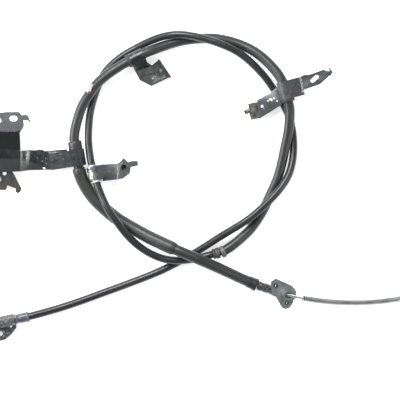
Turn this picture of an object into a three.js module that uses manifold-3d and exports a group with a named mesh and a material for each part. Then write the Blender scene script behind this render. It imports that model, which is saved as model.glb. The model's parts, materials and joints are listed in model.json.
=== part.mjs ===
// Parking brake cable, laid out flat in two turns with its brackets, drum flange and return spring.
// Units are millimetres and +Z is up.
// Plan positions are given in units of a square layout grid seen from above, u to the right and
// v downwards, and GRID turns them into millimetres. Heights are in millimetres.

import * as THREE from "three";
import { mergeVertices } from "three/addons/utils/BufferGeometryUtils.js";
import Module from "manifold-3d";

// Layout
const GRID = 1.1; // mm for one unit of the layout grid
const GRID_CENTRE = 200; // grid position that becomes x = 0, y = 0 before the last centring

// Cable coverings
const THIN_DIAMETER = 8.4;
const THICK_DIAMETER = 11;
const DRUM_SIDE_DIAMETER = 12;
const SLEEVE_DIAMETER = 14.6;
const WIRE_DIAMETER = 3;
const WIRE_BORE = 5.6; // bore of the drum-side covering, roomy because the wire curves

// Clearances
const FIT_GAP = 0.3; // between pieces that touch on the real cable
const CROSS_GAP = 0.6; // between strands that lie on each other
const END_GAP = 1.3; // between the square-cut ends of coverings that meet at a slight bend
const COLLAR_FIT = 0.8; // radial room of a collar that sits where the cable begins to bend
const CABLE_FIT = 0.45; // radial room between a covering and the strap, ring or ferrule round it
const MOUTH_FIT = 0.7; // radial room of the bores that the bare wire slides through

// Sheet metal
const SHEET = 2;
const STRAP_SHEET = 1.3;

// Return spring
const SPRING_WIRE = 1.3;
const SPRING_OUTSIDE = 7.4;
const SPRING_PITCH = 2.64;
const SPRING_TURNS = 45;
const SPRING_STEPS_PER_TURN = 8;
const SPRING_SIDES = 5;

// Facets
const TUBE_SIDES = 12;
const TURNED_SEGMENTS = 20;
const ARC_STEPS = 14;

// Heights of strands where they rest or cross
const THIN_LOW = THIN_DIAMETER / 2;
const THICK_LOW = THICK_DIAMETER / 2;
const SLEEVE_LOW = SLEEVE_DIAMETER / 2;
const THIN_OVER_THICK = THICK_LOW + (THICK_DIAMETER + THIN_DIAMETER) / 2 + CROSS_GAP;
const THICK_OVER_THIN = THIN_LOW + (THICK_DIAMETER + THIN_DIAMETER) / 2 + CROSS_GAP;
const THIN_OVER_THIN = THIN_LOW + THIN_DIAMETER + CROSS_GAP;
const THIN_OVER_SLEEVE = SLEEVE_LOW + (SLEEVE_DIAMETER + THIN_DIAMETER) / 2 + 2 * CROSS_GAP;
const DRUM_OVER_THIN = THIN_OVER_THIN + (THIN_DIAMETER + DRUM_SIDE_DIAMETER) / 2 + CROSS_GAP;

// Heights of the cable in its clamps and end fittings
const LEVER_END_HEIGHT = 9.5;
const DRUM_END_HEIGHT = 11;
const RIGHT_CLAMP_HEIGHT = 17;
const LEFT_CLAMP_HEIGHT = 10.6;
const COLLAR_HEIGHT = 14;
const P_CLIP_HEIGHT = 13.4;

// The drum end of the wire is a level arc that leaves through the flange's bore, leaning a little
const FLANGE_U = 284.5;
const FLANGE_V = 294;
const FLANGE_LEAN = 14.54; // degrees
const WIRE_ARC_RADIUS = 302.28;
const ARC_RADIUS = WIRE_ARC_RADIUS / GRID; // in grid units, as are its centre's places
const ARC_U = FLANGE_U + ARC_RADIUS * Math.sin(THREE.MathUtils.degToRad(FLANGE_LEAN));
const ARC_V = FLANGE_V - ARC_RADIUS * Math.cos(THREE.MathUtils.degToRad(FLANGE_LEAN));

const UP = new THREE.Vector3(0, 0, 1);

// Colours, seen from a step away
const PAINT = {
  thin: [0x202422, 0.32, 0.0],
  thick: [0x2b2f2e, 0.5, 0.0],
  sleeve: [0x303433, 0.55, 0.0],
  rubber: [0x1b1d1d, 0.7, 0.0],
  blackSheet: [0x26282b, 0.42, 0.3],
  greySheet: [0x4a4d52, 0.4, 0.6],
  zinc: [0xb9bdc2, 0.28, 0.9],
  oliveZinc: [0x8b948f, 0.4, 0.8],
  darkZinc: [0x77736f, 0.35, 0.85],
  steel: [0xc4c7c8, 0.25, 0.95],
  tape: [0xe6d3d2, 0.8, 0.0],
};

// Route of the cable from its lever end to its drum end: u, v, height, and a mark where a piece
// begins, ends or sits.
const ROUTE = [
  [14.5, 319.2, LEVER_END_HEIGHT, "leverMouth"],
  [23, 317.5, LEVER_END_HEIGHT, "thinStart"],
  [31, 315.9, LEVER_END_HEIGHT, "leverOut"],
  [45, 312.2, 6.8],
  [63, 307, THIN_LOW],
  [82, 300.6, THIN_LOW],
  [100, 294, THIN_LOW],
  [130, 283, THIN_LOW],
  [158, 272, THIN_LOW],
  [171, 265.8, THIN_LOW],
  [182, 260, THIN_LOW],
  [192, 254.6, 4.6],
  [205, 246.4, 7.4],
  [225, 233.6, 12],
  [240, 224.6, 15.2],
  [250, 217.8, THIN_OVER_THICK],
  [260, 209.3, THIN_OVER_THICK],
  [270.4, 199.3, 15.8],
  [281.2, 187, 14.6],
  [288.6, 174.5, 12.2],
  [292.6, 160, 8.6],
  [293.6, 147, 6],
  [293, 134, THIN_LOW],
  [290.4, 121, THIN_LOW],
  [286.6, 110.5, THIN_LOW],
  [281.8, 101.2, THIN_LOW],
  [274.6, 90.2, THIN_LOW],
  [264.6, 76.4, 5.5],
  [249.6, 61.2, 9],
  [236.8, 51.9, 13],
  [222, 45, THIN_OVER_THICK],
  [207, 40, THIN_OVER_THICK],
  [190, 36, THIN_OVER_THICK],
  [176, 34.9, 14.6],
  [162, 36.9, 11],
  [149, 41.4, 7],
  [135, 48.3, 4.4],
  [121, 56.6, THIN_LOW],
  [110, 66, THIN_LOW],
  [102.5, 75.5, THIN_LOW],
  [97, 88, THIN_LOW],
  [93, 100, 4.7],
  [90.2, 112, 5.6],
  [88.8, 125, 7],
  [88.4, 140, 9],
  [89.6, 152, 10.4],
  [91.4, 162.5, COLLAR_HEIGHT - 1.6, "collarIn"],
  [97.8, 186, COLLAR_HEIGHT + 2, "collarOut"],
  [101.8, 195.8, 17.6],
  [108, 208.5, THIN_OVER_SLEEVE],
  [118, 223, THIN_OVER_SLEEVE],
  [128, 235.8, 18],
  [139, 246, 15.8],
  [150, 253.2, 14],
  [163, 258.5, THIN_OVER_THIN],
  [176, 260.3, THIN_OVER_THIN],
  [190, 259.4, THIN_OVER_THIN],
  [200, 257.6, THIN_OVER_THIN],
  [206.5, 255.9, 13, "crimpIn"],
  [214, 253.9, 12.8, "thinEnd"],
  [222.8, 251.6, 12, "thickStart"],
  [229, 247.7, 11, "thickOut"],
  [236, 242.5, 9.3],
  [243, 236.4, 7.2],
  [250, 229.5, THICK_LOW],
  [257, 220, THICK_LOW],
  [263, 210, THICK_LOW],
  [271.6, 192, 6.2],
  [277.6, 178, 7.4],
  [282, 162, 9],
  [284.8, 148, 11],
  [288, 132, 13.6],
  [289.3, 119, 15.6],
  [289.2, 108, 16.8],
  [287.3, 100.4, RIGHT_CLAMP_HEIGHT, "rightIn"],
  [282, 81.4, RIGHT_CLAMP_HEIGHT, "rightOut"],
  [271, 66, 13.6],
  [255, 52, 9.5],
  [236, 43, 6],
  [216, 38.5, THICK_LOW],
  [200, 38.4, THICK_LOW],
  [186, 39.8, THICK_LOW],
  [174, 42.6, 6.3],
  [160, 47.4, 9],
  [144.6, 53.6, P_CLIP_HEIGHT - 0.4, "pClipIn"],
  [129.2, 61.2, P_CLIP_HEIGHT + 0.4, "pClipOut"],
  [119, 67.2, 14.2],
  [108, 74.6, THICK_OVER_THIN],
  [97, 84.2, THICK_OVER_THIN, "tagIn"],
  [89.4, 94.6, THICK_OVER_THIN, "tagOut"],
  [82, 107, 13],
  [77.5, 120, 12],
  [75.1, 130, 11.4],
  [74.2, 139.5, LEFT_CLAMP_HEIGHT + 0.2, "leftIn"],
  [78.8, 168.2, LEFT_CLAMP_HEIGHT - 0.2, "leftOut"],
  [82.2, 179.6, 8.8],
  [91, 194.6, 7.6],
  [102.5, 206.8, SLEEVE_LOW],
  [116, 218, 7.6],
  [132, 227.8, 9.8],
  [148.5, 236.7, 14.5],
  [162, 243, 19],
  [175.3, 249, 22.6, "sleeveEnd"],
  [190, 255.3, DRUM_OVER_THIN],
  [198, 258.7, DRUM_OVER_THIN],
  [211, 264.4, 21.5],
  [225, 270.8, 17],
  [241, 278.2, 12, "drumSideIn"],
  [255.4, 284.6, DRUM_END_HEIGHT + 0.2, "drumSideEnd"],
];

const inPlan = (u, v) => new THREE.Vector2((u - GRID_CENTRE) * GRID, (GRID_CENTRE - v) * GRID);

const at = (u, v, height) => {
  const plan = inPlan(u, v);
  return new THREE.Vector3(plan.x, plan.y, height);
};

const route = new THREE.CatmullRomCurve3(ROUTE.map(([u, v, height]) => at(u, v, height)));

const mark = (name) => ROUTE.findIndex((entry) => entry[3] === name) / (ROUTE.length - 1);

// A stretch of a longer curve, between two of its parameters
class Stretch extends THREE.Curve {
  constructor(path, from, to) {
    super();
    this.path = path;
    this.from = from;
    this.to = to;
  }

  getPoint(t, target = new THREE.Vector3()) {
    return this.path.getPoint(this.from + (this.to - this.from) * t, target);
  }
}

// A curve through given points with straight lines between them
class Chain extends THREE.Curve {
  constructor(points) {
    super();
    this.points = points;
  }

  getPoint(t, target = new THREE.Vector3()) {
    const place = t * (this.points.length - 1);
    const before = Math.min(Math.floor(place), this.points.length - 2);
    return target.lerpVectors(this.points[before], this.points[before + 1], place - before);
  }

  getPointAt(t, target) {
    return this.getPoint(t, target);
  }

  getSpacedPoints() {
    return this.points.map((point) => point.clone());
  }

  getTangentAt(t, target = new THREE.Vector3()) {
    const index = Math.round(t * (this.points.length - 1));
    const before = this.points[Math.max(index - 1, 0)];
    const after = this.points[Math.min(index + 1, this.points.length - 1)];
    return target.subVectors(after, before).normalize();
  }
}

// The level arc that the drum end of the wire slides along, from one u to another
class WireArc extends THREE.Curve {
  constructor(fromU, toU) {
    super();
    this.fromAngle = Math.asin((fromU - ARC_U) / ARC_RADIUS);
    this.toAngle = Math.asin((toU - ARC_U) / ARC_RADIUS);
  }

  getPoint(t, target = new THREE.Vector3()) {
    const angle = this.fromAngle + (this.toAngle - this.fromAngle) * t;
    const u = ARC_U + ARC_RADIUS * Math.sin(angle);
    const v = ARC_V + ARC_RADIUS * Math.cos(angle);
    return target.copy(at(u, v, DRUM_END_HEIGHT));
  }
}

// A coil of a given radius round a level curve
class Coil extends THREE.Curve {
  constructor(core, radius, turns) {
    super();
    this.core = core;
    this.radius = radius;
    this.turns = turns;
  }

  getPoint(t, target = new THREE.Vector3()) {
    const middle = this.core.getPoint(t);
    const side = new THREE.Vector3().crossVectors(this.core.getTangent(t), UP).normalize();
    const turn = t * this.turns * Math.PI * 2;
    target.copy(middle);
    target.addScaledVector(side, Math.cos(turn) * this.radius);
    target.addScaledVector(UP, Math.sin(turn) * this.radius);
    return target;
  }
}

// Booleans

const wasm = await Module();
wasm.setup();

const toSolid = (geometry) => {
  const bare = geometry.clone();
  bare.deleteAttribute("normal");
  bare.deleteAttribute("uv");
  const merged = mergeVertices(bare, 1e-4);
  return new wasm.Manifold(
    new wasm.Mesh({
      numProp: 3,
      vertProperties: Float32Array.from(merged.attributes.position.array),
      triVerts: Uint32Array.from(merged.index.array),
    })
  );
};

const toGeometry = (solid) => {
  const mesh = solid.getMesh();
  const geometry = new THREE.BufferGeometry();
  geometry.setAttribute("position", new THREE.BufferAttribute(mesh.vertProperties, 3));
  geometry.setIndex(new THREE.BufferAttribute(mesh.triVerts, 1));
  const flat = geometry.toNonIndexed();
  flat.computeVertexNormals();
  return flat;
};

const union = (...solids) => solids.reduce((whole, solid) => whole.add(solid));

// Shapes

const circle = (radius, sides) => {
  const points = [];
  for (let i = 0; i < sides; i += 1) {
    const angle = ((i + 0.5) / sides) * Math.PI * 2;
    points.push(new THREE.Vector2(Math.cos(angle) * radius, Math.sin(angle) * radius));
  }
  return points;
};

const ring = (outer, inner, sides) => {
  const shape = new THREE.Shape(circle(outer, sides));
  if (inner > 0) {
    shape.holes.push(new THREE.Path(circle(inner, sides)));
  }
  return shape;
};

const alongCurve = (shape, curve, steps) =>
  new THREE.ExtrudeGeometry(shape, { steps, bevelEnabled: false, extrudePath: curve });

const extruded = (shape, depth) => new THREE.ExtrudeGeometry(shape, { depth, bevelEnabled: false });

// A vertical prism over a plan outline, from one height to another
const prism = (outline, bottom, top) => {
  const shape = new THREE.Shape(outline.map(([u, v]) => inPlan(u, v)));
  return toSolid(extruded(shape, top - bottom).translate(0, 0, bottom));
};

// A vertical round or oblong hole through everything between two heights
const drill = (u, v, radius, bottom, top) => {
  const plan = inPlan(u, v);
  const shape = new THREE.Shape(circle(radius, 16));
  return toSolid(extruded(shape, top - bottom).translate(plan.x, plan.y, bottom));
};

const slotDrill = (from, to, radius, bottom, top) => {
  const ends = [drill(from[0], from[1], radius, bottom, top), drill(to[0], to[1], radius, bottom, top)];
  return wasm.Manifold.hull(ends);
};

// A frame whose local z runs along an axis, with local y up and local x to the side
const frameAlong = (origin, axis) => {
  const side = new THREE.Vector3().crossVectors(UP, axis).normalize();
  const upright = new THREE.Vector3().crossVectors(axis, side);
  return new THREE.Matrix4().makeBasis(side, upright, axis).setPosition(origin);
};

const frameOn = (curve, t) => frameAlong(curve.getPoint(t), curve.getTangent(t));

// A frame halfway between two marks of the route, or a share of the way from the first, where the
// cable runs straight from one to the other
const frameBetween = (from, to, share = 0.5) => {
  const start = route.getPoint(mark(from));
  const end = route.getPoint(mark(to));
  const axis = new THREE.Vector3().subVectors(end, start).normalize();
  return frameAlong(start.lerp(end, share), axis);
};

// A turned piece: profile of [radius, distance along the axis], closed on itself
const turned = (profile, frame) => {
  const points = profile.map(([radius, along]) => new THREE.Vector2(radius, along));
  points.push(points[0].clone());
  const geometry = new THREE.LatheGeometry(points, TURNED_SEGMENTS);
  return geometry.rotateX(Math.PI / 2).applyMatrix4(frame);
};

// A sheet folded along parallel lines: a chain of [along, height] points given a thickness
// upwards, then run out sideways
const foldedSheet = (fold, thickness, width, frame) => {
  const points = fold.map(([along, height]) => new THREE.Vector2(along, height));
  const normals = points.slice(1).map((point, i) => {
    const step = new THREE.Vector2().subVectors(point, points[i]).normalize();
    return new THREE.Vector2(-step.y, step.x);
  });
  const lifted = points.map((point, i) => {
    const before = normals[Math.max(i - 1, 0)];
    const after = normals[Math.min(i, normals.length - 1)];
    const mitre = new THREE.Vector2().addVectors(before, after).normalize();
    return point.clone().addScaledVector(mitre, thickness / mitre.dot(after));
  });
  const shape = new THREE.Shape([...points, ...lifted.reverse()]);
  return toSolid(extruded(shape, width).translate(0, 0, -width / 2).applyMatrix4(frame));
};

// A cylinder along a frame's axis, from one distance to another
const rod = (radius, from, to, frame, sides = 20) => {
  const shape = new THREE.Shape(circle(radius, sides));
  return toSolid(extruded(shape, to - from).translate(0, 0, from).applyMatrix4(frame));
};

// An upright frame at a plan point: local x along a plan direction, local y up
const standAt = (u, v, height, alongU, alongV) => {
  const along = new THREE.Vector3(alongU, -alongV, 0).normalize();
  const across = new THREE.Vector3().crossVectors(along, UP);
  return new THREE.Matrix4().makeBasis(along, UP, across).setPosition(at(u, v, height));
};

// A strap folded round the cable: a loop whose two layers close into one tail on local +x
const strap = (inner, sheet, tailLength, tailHeight, width, frame) => {
  const outer = inner + sheet;
  const loop = new THREE.Shape(circle(outer, 24));
  const tail = new THREE.Shape([
    new THREE.Vector2(tailLength - sheet, tailHeight - sheet),
    new THREE.Vector2(tailLength, tailHeight - sheet),
    new THREE.Vector2(tailLength, tailHeight + sheet),
    new THREE.Vector2(tailLength - sheet, tailHeight + sheet),
  ]);
  const body = wasm.Manifold.hull([toSolid(extruded(loop, width)), toSolid(extruded(tail, width))]);
  const hole = new THREE.Shape(circle(inner, 24));
  const bore = toSolid(extruded(hole, width + 2).translate(0, 0, -1));
  return toSolid(toGeometry(body.subtract(bore)).translate(0, 0, -width / 2).applyMatrix4(frame));
};

// Coverings. Each runs from mark to mark in its own number of steps, and straight through its clamps.

const THIN_TOUR = [
  ["thinStart", "leverOut", 1],
  ["leverOut", "collarIn", 38],
  ["collarIn", "collarOut", 1],
  ["collarOut", "crimpIn", 8],
  ["crimpIn", "thinEnd", 1],
];
const THICK_TOUR = [
  ["thickStart", "thickOut", 1],
  ["thickOut", "rightIn", 7],
  ["rightIn", "rightOut", 1],
  ["rightOut", "pClipIn", 7],
  ["pClipIn", "pClipOut", 1],
  ["pClipOut", "tagIn", 2],
  ["tagIn", "tagOut", 1],
  ["tagOut", "leftIn", 3],
  ["leftIn", "leftOut", 1],
];
const SLEEVE_TOUR = [["leftOut", "sleeveEnd", 6]];
const DRUM_SIDE_TOUR = [
  ["sleeveEnd", "drumSideIn", 4],
  ["drumSideIn", "drumSideEnd", 1],
];

const tourPoints = (tour) => {
  const points = [];
  for (const [from, to, steps] of tour) {
    const leg = new Stretch(route, mark(from), mark(to)).getSpacedPoints(steps);
    points.push(...(points.length > 0 ? leg.slice(1) : leg));
  }
  return points;
};

const covering = (points, diameter, bore) => {
  const shape = ring(diameter / 2, bore / 2, TUBE_SIDES);
  return alongCurve(shape, new Chain(points), points.length - 1);
};

const buildThinCovering = () => covering(tourPoints(THIN_TOUR), THIN_DIAMETER, 0);

const buildThickCovering = () => {
  const points = tourPoints([...THICK_TOUR, ...SLEEVE_TOUR]);
  const last = points[points.length - 1];
  last.lerp(points[points.length - 2], END_GAP / last.distanceTo(points[points.length - 2]));
  return covering(points, THICK_DIAMETER, 0);
};

const buildSleeve = () => covering(tourPoints(SLEEVE_TOUR), SLEEVE_DIAMETER, THICK_DIAMETER + 2 * CABLE_FIT);

const buildDrumSideCovering = () => {
  const points = tourPoints(DRUM_SIDE_TOUR);
  points[0].lerp(points[1], END_GAP / points[0].distanceTo(points[1]));
  return covering(points, DRUM_SIDE_DIAMETER, WIRE_BORE);
};

// Lever end

const leverFrame = frameBetween("leverMouth", "leverOut", 0);
const LEVER_FERRULE_LENGTH = 16;
const LEVER_WIRE_OUT = 46; // bare wire past the ferrule's mouth
const LEVER_WIRE_IN = 5; // wire inside the ferrule's nose
const LEVER_BORE = WIRE_DIAMETER / 2 + CABLE_FIT;
const LEVER_BLOCK_LENGTH = 24;

const buildLeverFerrule = () => {
  const inner = THIN_DIAMETER / 2 + CABLE_FIT;
  const body = inner + 0.8;
  return turned(
    [
      [LEVER_BORE, 0.4],
      [body, 0.4],
      [body, 2.6],
      [body - 0.5, 3.4],
      [body - 0.5, 5.6],
      [body, 6.4],
      [body, 12],
      [body - 0.3, 12.4],
      [body - 0.3, 13.4],
      [body + 0.5, 13.8],
      [body + 0.5, LEVER_FERRULE_LENGTH - 0.4],
      [body, LEVER_FERRULE_LENGTH],
      [inner, LEVER_FERRULE_LENGTH],
      [inner, 7],
      [LEVER_BORE, 7],
    ],
    leverFrame
  );
};

const buildLeverBracket = () => {
  const block = toSolid(
    extruded(new THREE.Shape(circle(6.7, 8)), LEVER_BLOCK_LENGTH)
      .translate(0, 0, -LEVER_BLOCK_LENGTH)
      .applyMatrix4(leverFrame)
  );
  const lobe = prism(
    [[-8, 320], [3, 318], [12, 318.4], [16.2, 321], [16, 328], [11, 334.5], [5, 339.5], [0, 341], [-6, 338], [-9, 330]],
    LEVER_END_HEIGHT - 8.6,
    LEVER_END_HEIGHT - 5.8
  );
  const boss = drill(0.4, 333.6, 5.2, LEVER_END_HEIGHT - 9.2, LEVER_END_HEIGHT - 3.4);
  const bore = toSolid(
    extruded(new THREE.Shape(circle(LEVER_BORE + 0.5, 16)), LEVER_BLOCK_LENGTH + 12)
      .translate(0, 0, -LEVER_BLOCK_LENGTH - 6)
      .applyMatrix4(leverFrame)
  );
  const boltHole = drill(0.4, 333.6, 2.6, -2, 12);
  const smallHole = drill(10.6, 326.4, 1.5, -2, 12);
  return toGeometry(union(block, lobe, boss).subtract(bore).subtract(boltHole).subtract(smallHole));
};

const buildLeverWire = () => {
  const wire = new THREE.Shape(circle(WIRE_DIAMETER / 2, 12));
  const length = LEVER_WIRE_OUT + LEVER_WIRE_IN;
  return extruded(wire, length).translate(0, 0, -LEVER_WIRE_OUT).applyMatrix4(leverFrame);
};

const buildLeverNipple = () => {
  const radius = 4.5;
  const end = -LEVER_WIRE_OUT;
  const hold = WIRE_DIAMETER / 2 + FIT_GAP;
  return turned(
    [
      [0, end - 3.4],
      [2, end - 3.4],
      [radius, end - 1.4],
      [radius, end + 7],
      [3, end + 9],
      [hold, end + 9],
      [hold, end - FIT_GAP],
      [0, end - FIT_GAP],
    ],
    leverFrame
  );
};

// Crimped joint where the thin covering meets the thick one

const CRIMP_RADIUS = 6.1;
const CRIMP_LENGTH = 6.1;
const CRIMP_SPIGOT = 4; // radius of the ferrule's nose, which points into the ring

const buildCrimpFerrule = () => {
  const thin = THIN_DIAMETER / 2 + CABLE_FIT;
  const start = route.getPoint(mark("thinEnd"));
  const axis = new THREE.Vector3().subVectors(route.getPoint(mark("thickStart")), start).normalize();
  return turned(
    [
      [thin, -1.4],
      [5.4, -1.4],
      [5.8, -0.9],
      [5.8, 0.5],
      [5.3, 1],
      [5.3, 1.8],
      [CRIMP_RADIUS, 2.6],
      [CRIMP_RADIUS, CRIMP_LENGTH],
      [CRIMP_SPIGOT, CRIMP_LENGTH],
      [CRIMP_SPIGOT, CRIMP_LENGTH + 1.2],
      [2.2, CRIMP_LENGTH + 1.2],
      [2.2, 1.4],
      [thin, 1.4],
    ],
    frameAlong(start, axis)
  );
};

const buildCrimpRing = () => {
  const thick = THICK_DIAMETER / 2 + COLLAR_FIT;
  const before = route.getPoint(mark("thinEnd"));
  const start = route.getPoint(mark("thickStart"));
  const after = route.getPoint(mark("thickOut"));
  const axis = new THREE.Vector3().subVectors(start, before).normalize();
  axis.add(after.sub(start).normalize());
  return turned(
    [
      [CRIMP_SPIGOT + 0.6, -2.4],
      [CRIMP_RADIUS, -2.4],
      [CRIMP_RADIUS + 0.7, -1.7],
      [CRIMP_RADIUS + 0.7, 1.6],
      [CRIMP_RADIUS, 2.2],
      [thick, 2.2],
      [thick, -1.3],
      [CRIMP_SPIGOT + 0.6, -1.3],
    ],
    frameAlong(start, axis.normalize())
  );
};

// P-clip

const P_CLIP_WIDTH = 16;
const P_CLIP_DROP = 5; // of the plate below the middle of the cable
const P_CLIP_FLANGE_RISE = 5;
const P_CLIP_DIMPLE = 3.6; // radius
const pClipFrame = frameBetween("pClipIn", "pClipOut");

const buildPClip = () => {
  const inner = THICK_DIAMETER / 2 + CABLE_FIT;
  const loop = strap(inner, STRAP_SHEET, 13, -P_CLIP_DROP, P_CLIP_WIDTH, pClipFrame);
  const deck = P_CLIP_HEIGHT - P_CLIP_DROP;
  const plate = prism(
    [[132.6, 66.4], [143, 59.5], [151.8, 65.2], [158.1, 60.4], [169.6, 77.4], [151.5, 86.1], [139.9, 80.2]],
    deck - SHEET / 2,
    deck + SHEET / 2
  );
  const flange = prism([[157.8, 60.2], [159.4, 59.2], [171.4, 77], [169.8, 78]], 0.6, deck + P_CLIP_FLANGE_RISE);
  const dimple = drill(152.3, 76.6, P_CLIP_DIMPLE, deck + SHEET / 4, deck + SHEET);
  return toGeometry(union(loop, plate, flange).subtract(dimple));
};

const buildPClipCollar = () => {
  const inner = THICK_DIAMETER / 2 + COLLAR_FIT;
  const side = P_CLIP_WIDTH / 2 + FIT_GAP;
  return turned([[inner, side], [inner + 1.1, side], [inner + 0.9, side + 3.4], [inner, side + 3.4]], pClipFrame);
};

// Right bracket

const RIGHT_CLAMP_WIDTH = 20;
const RIGHT_ARM_DROP = 3.4; // of the slotted arm's top below the middle of the cable
const RIGHT_STOP_RISE = 4;
const rightFrame = frameBetween("rightOut", "rightIn");

const buildRightArm = () => {
  const top = RIGHT_CLAMP_HEIGHT - RIGHT_ARM_DROP;
  const arm = prism(
    [[299, 77.6], [303, 75.3], [309.2, 74.9], [323.5, 69.7], [329.2, 72.6], [330.2, 75.2], [319.6, 84.5],
      [304.9, 89.4], [300, 91.5]],
    top - SHEET,
    top
  );
  const stop = prism([[327.6, 68.6], [328.8, 67.4], [332.2, 72.2], [330.6, 76], [329.4, 75.4], [330.4, 72.4]],
    top - SHEET, top + RIGHT_STOP_RISE);
  const link = prism([[326.4, 71], [330.8, 71.6], [330.4, 75.4], [326, 76]], top - SHEET, top);
  const slot = slotDrill([312.2, 81], [316.6, 77.2], 2.2, 0, 40);
  return union(arm, stop, link).subtract(slot);
};

const buildLeftwardArm = () => {
  const top = RIGHT_CLAMP_HEIGHT - THICK_DIAMETER / 2 - CABLE_FIT + FIT_GAP;
  const arm = prism(
    [[256.8, 100.2], [270.3, 93], [276.4, 86.9], [281, 90], [282.6, 98.6], [281.2, 105.2], [264.2, 115.8],
      [259.4, 118.6]],
    top - SHEET,
    top
  );
  const bentEnd = foldedSheet([[-3, 1.2], [0.8, 0.4], [7, -6.4]], SHEET, 18,
    standAt(257, 110.4, top - SHEET - 0.6, -14, 2.4));
  const tab = prism([[250.8, 112], [245.6, 114.4], [243.6, 110.8], [248.4, 108.2], [251.6, 107]], 3.4, 5.4);
  return union(arm, bentEnd, tab);
};

const buildRightBracket = () => {
  const inner = THICK_DIAMETER / 2 + CABLE_FIT;
  const loop = strap(inner, STRAP_SHEET, 20, -4, RIGHT_CLAMP_WIDTH, rightFrame);
  return toGeometry(union(loop, buildRightArm(), buildLeftwardArm()));
};

const buildRightGrommet = () => {
  const inner = THICK_DIAMETER / 2 + COLLAR_FIT;
  const side = RIGHT_CLAMP_WIDTH / 2 + FIT_GAP;
  return turned([[inner, side], [inner + 1.7, side], [inner + 1.4, side + 2.6], [inner, side + 2.6]], rightFrame);
};

// Second clip, a zinc strap wrapped round a liner on the thin covering, with a bolted ear

const CLIP_WIDTH = 15;
const CLIP_LINER_WALL = 0.8;
const CLIP_FIT = 0.3; // radial room between the liner and the strap
const CLIP_EAR_RISE = 1.2; // of the ear over the arm, after a joggle
const CLIP_BOLT_RADIUS = 3;
const CLIP_NUT_RADIUS = 4.4;
const CLIP_NUT_HEIGHT = 6.4;
const CLIP_NUT_FLOOR = 1.4;
const CLIP_BOLT = [124.1, 167.4];
const collarFrame = frameBetween("collarIn", "collarOut", 0.485);

const buildClipLiner = () => {
  const inner = THIN_DIAMETER / 2 + CABLE_FIT;
  const outer = inner + CLIP_LINER_WALL;
  const side = CLIP_WIDTH / 2;
  return turned(
    [
      [inner, -side - 1.8],
      [outer, -side - 1.8],
      [outer, side + 0.6],
      [outer + 1, side + 1.4],
      [outer + 1, side + 2.6],
      [outer - 0.4, side + 3.4],
      [inner, side + 3.4],
    ],
    collarFrame
  );
};

const buildClipBracket = () => {
  const inner = THIN_DIAMETER / 2 + CABLE_FIT + CLIP_LINER_WALL + CLIP_FIT;
  const loop = strap(inner, STRAP_SHEET, 13, 0, CLIP_WIDTH, collarFrame);
  const slit = prism([[84, 174.2], [96.4, 170.4], [96.6, 171.2], [84.2, 175]], COLLAR_HEIGHT - 3, 40);
  const deck = COLLAR_HEIGHT;
  const arm = prism(
    [[101, 164.8], [118.6, 163.4], [119.1, 179.4], [103, 181.3]],
    deck - SHEET / 2,
    deck + SHEET / 2
  );
  const sheet = foldedSheet([[-2, 0], [0, 0], [1.3, CLIP_EAR_RISE], [24, CLIP_EAR_RISE]], SHEET, 30,
    standAt(118.8, 168, deck - SHEET / 2, 1, 0.1));
  const outline = prism(
    [[116, 163.5], [119, 163], [124, 157.9], [128.3, 162.2], [131.9, 161], [137.9, 161], [138.3, 165.7], [131, 167.4],
      [130.1, 173.2], [122.9, 178.6], [116, 179.6]],
    0,
    40
  );
  const bolt = drill(CLIP_BOLT[0], CLIP_BOLT[1], CLIP_BOLT_RADIUS, 0, 40);
  return toGeometry(union(loop.subtract(slit), arm, sheet.intersect(outline)).subtract(bolt));
};

// A closed hexagonal nut under the ear's hole
const buildClipNut = () => {
  const plan = inPlan(CLIP_BOLT[0], CLIP_BOLT[1]);
  const top = COLLAR_HEIGHT - SHEET / 2 + CLIP_EAR_RISE - FIT_GAP;
  const frame = new THREE.Matrix4().setPosition(plan.x, plan.y, top);
  const body = rod(CLIP_NUT_RADIUS, -CLIP_NUT_HEIGHT, 0, frame, 6);
  const bore = rod(CLIP_BOLT_RADIUS, CLIP_NUT_FLOOR - CLIP_NUT_HEIGHT, 1, frame, 16);
  return toGeometry(body.subtract(bore));
};

// Left bracket

const LEFT_CLAMP_WIDTH = 18;
const leftFrame = frameBetween("leftOut", "leftIn", 0.36);
const GROMMET_WALL = 1.5;
const PLATE_RISE = 11; // of the slotted plate over the arm
const BUMP_RISE = 2.8; // of the small pressed stop on the arm
const RIVET_SHANK = 2;
const RIVET_HEAD = 3.8;

// The arm runs from the fold of the wall to the clamp, with a joggle, a pressed ridge and a step
// down under the strap
const buildLeftArm = (deck) => {
  const profile = [[-14, 0], [23, 0], [26.6, 1.6], [32.6, 1.6], [37, 0.4], [45, 0.4], [49, 1.8], [53, -1.2], [74, -1.2]];
  const sheet = foldedSheet(profile, SHEET, 30, standAt(0, 160.4, deck - SHEET / 2, 1, 0));
  const outline = prism(
    [[-12, 150.2], [21, 151], [30, 149.9], [33, 150.3], [43, 149.8], [45, 151.2], [67.6, 149.2], [67.6, 166.8],
      [50, 169.8], [30, 170.2], [20, 171.5], [-12, 173]],
    0,
    40
  );
  return sheet.intersect(outline);
};

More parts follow.
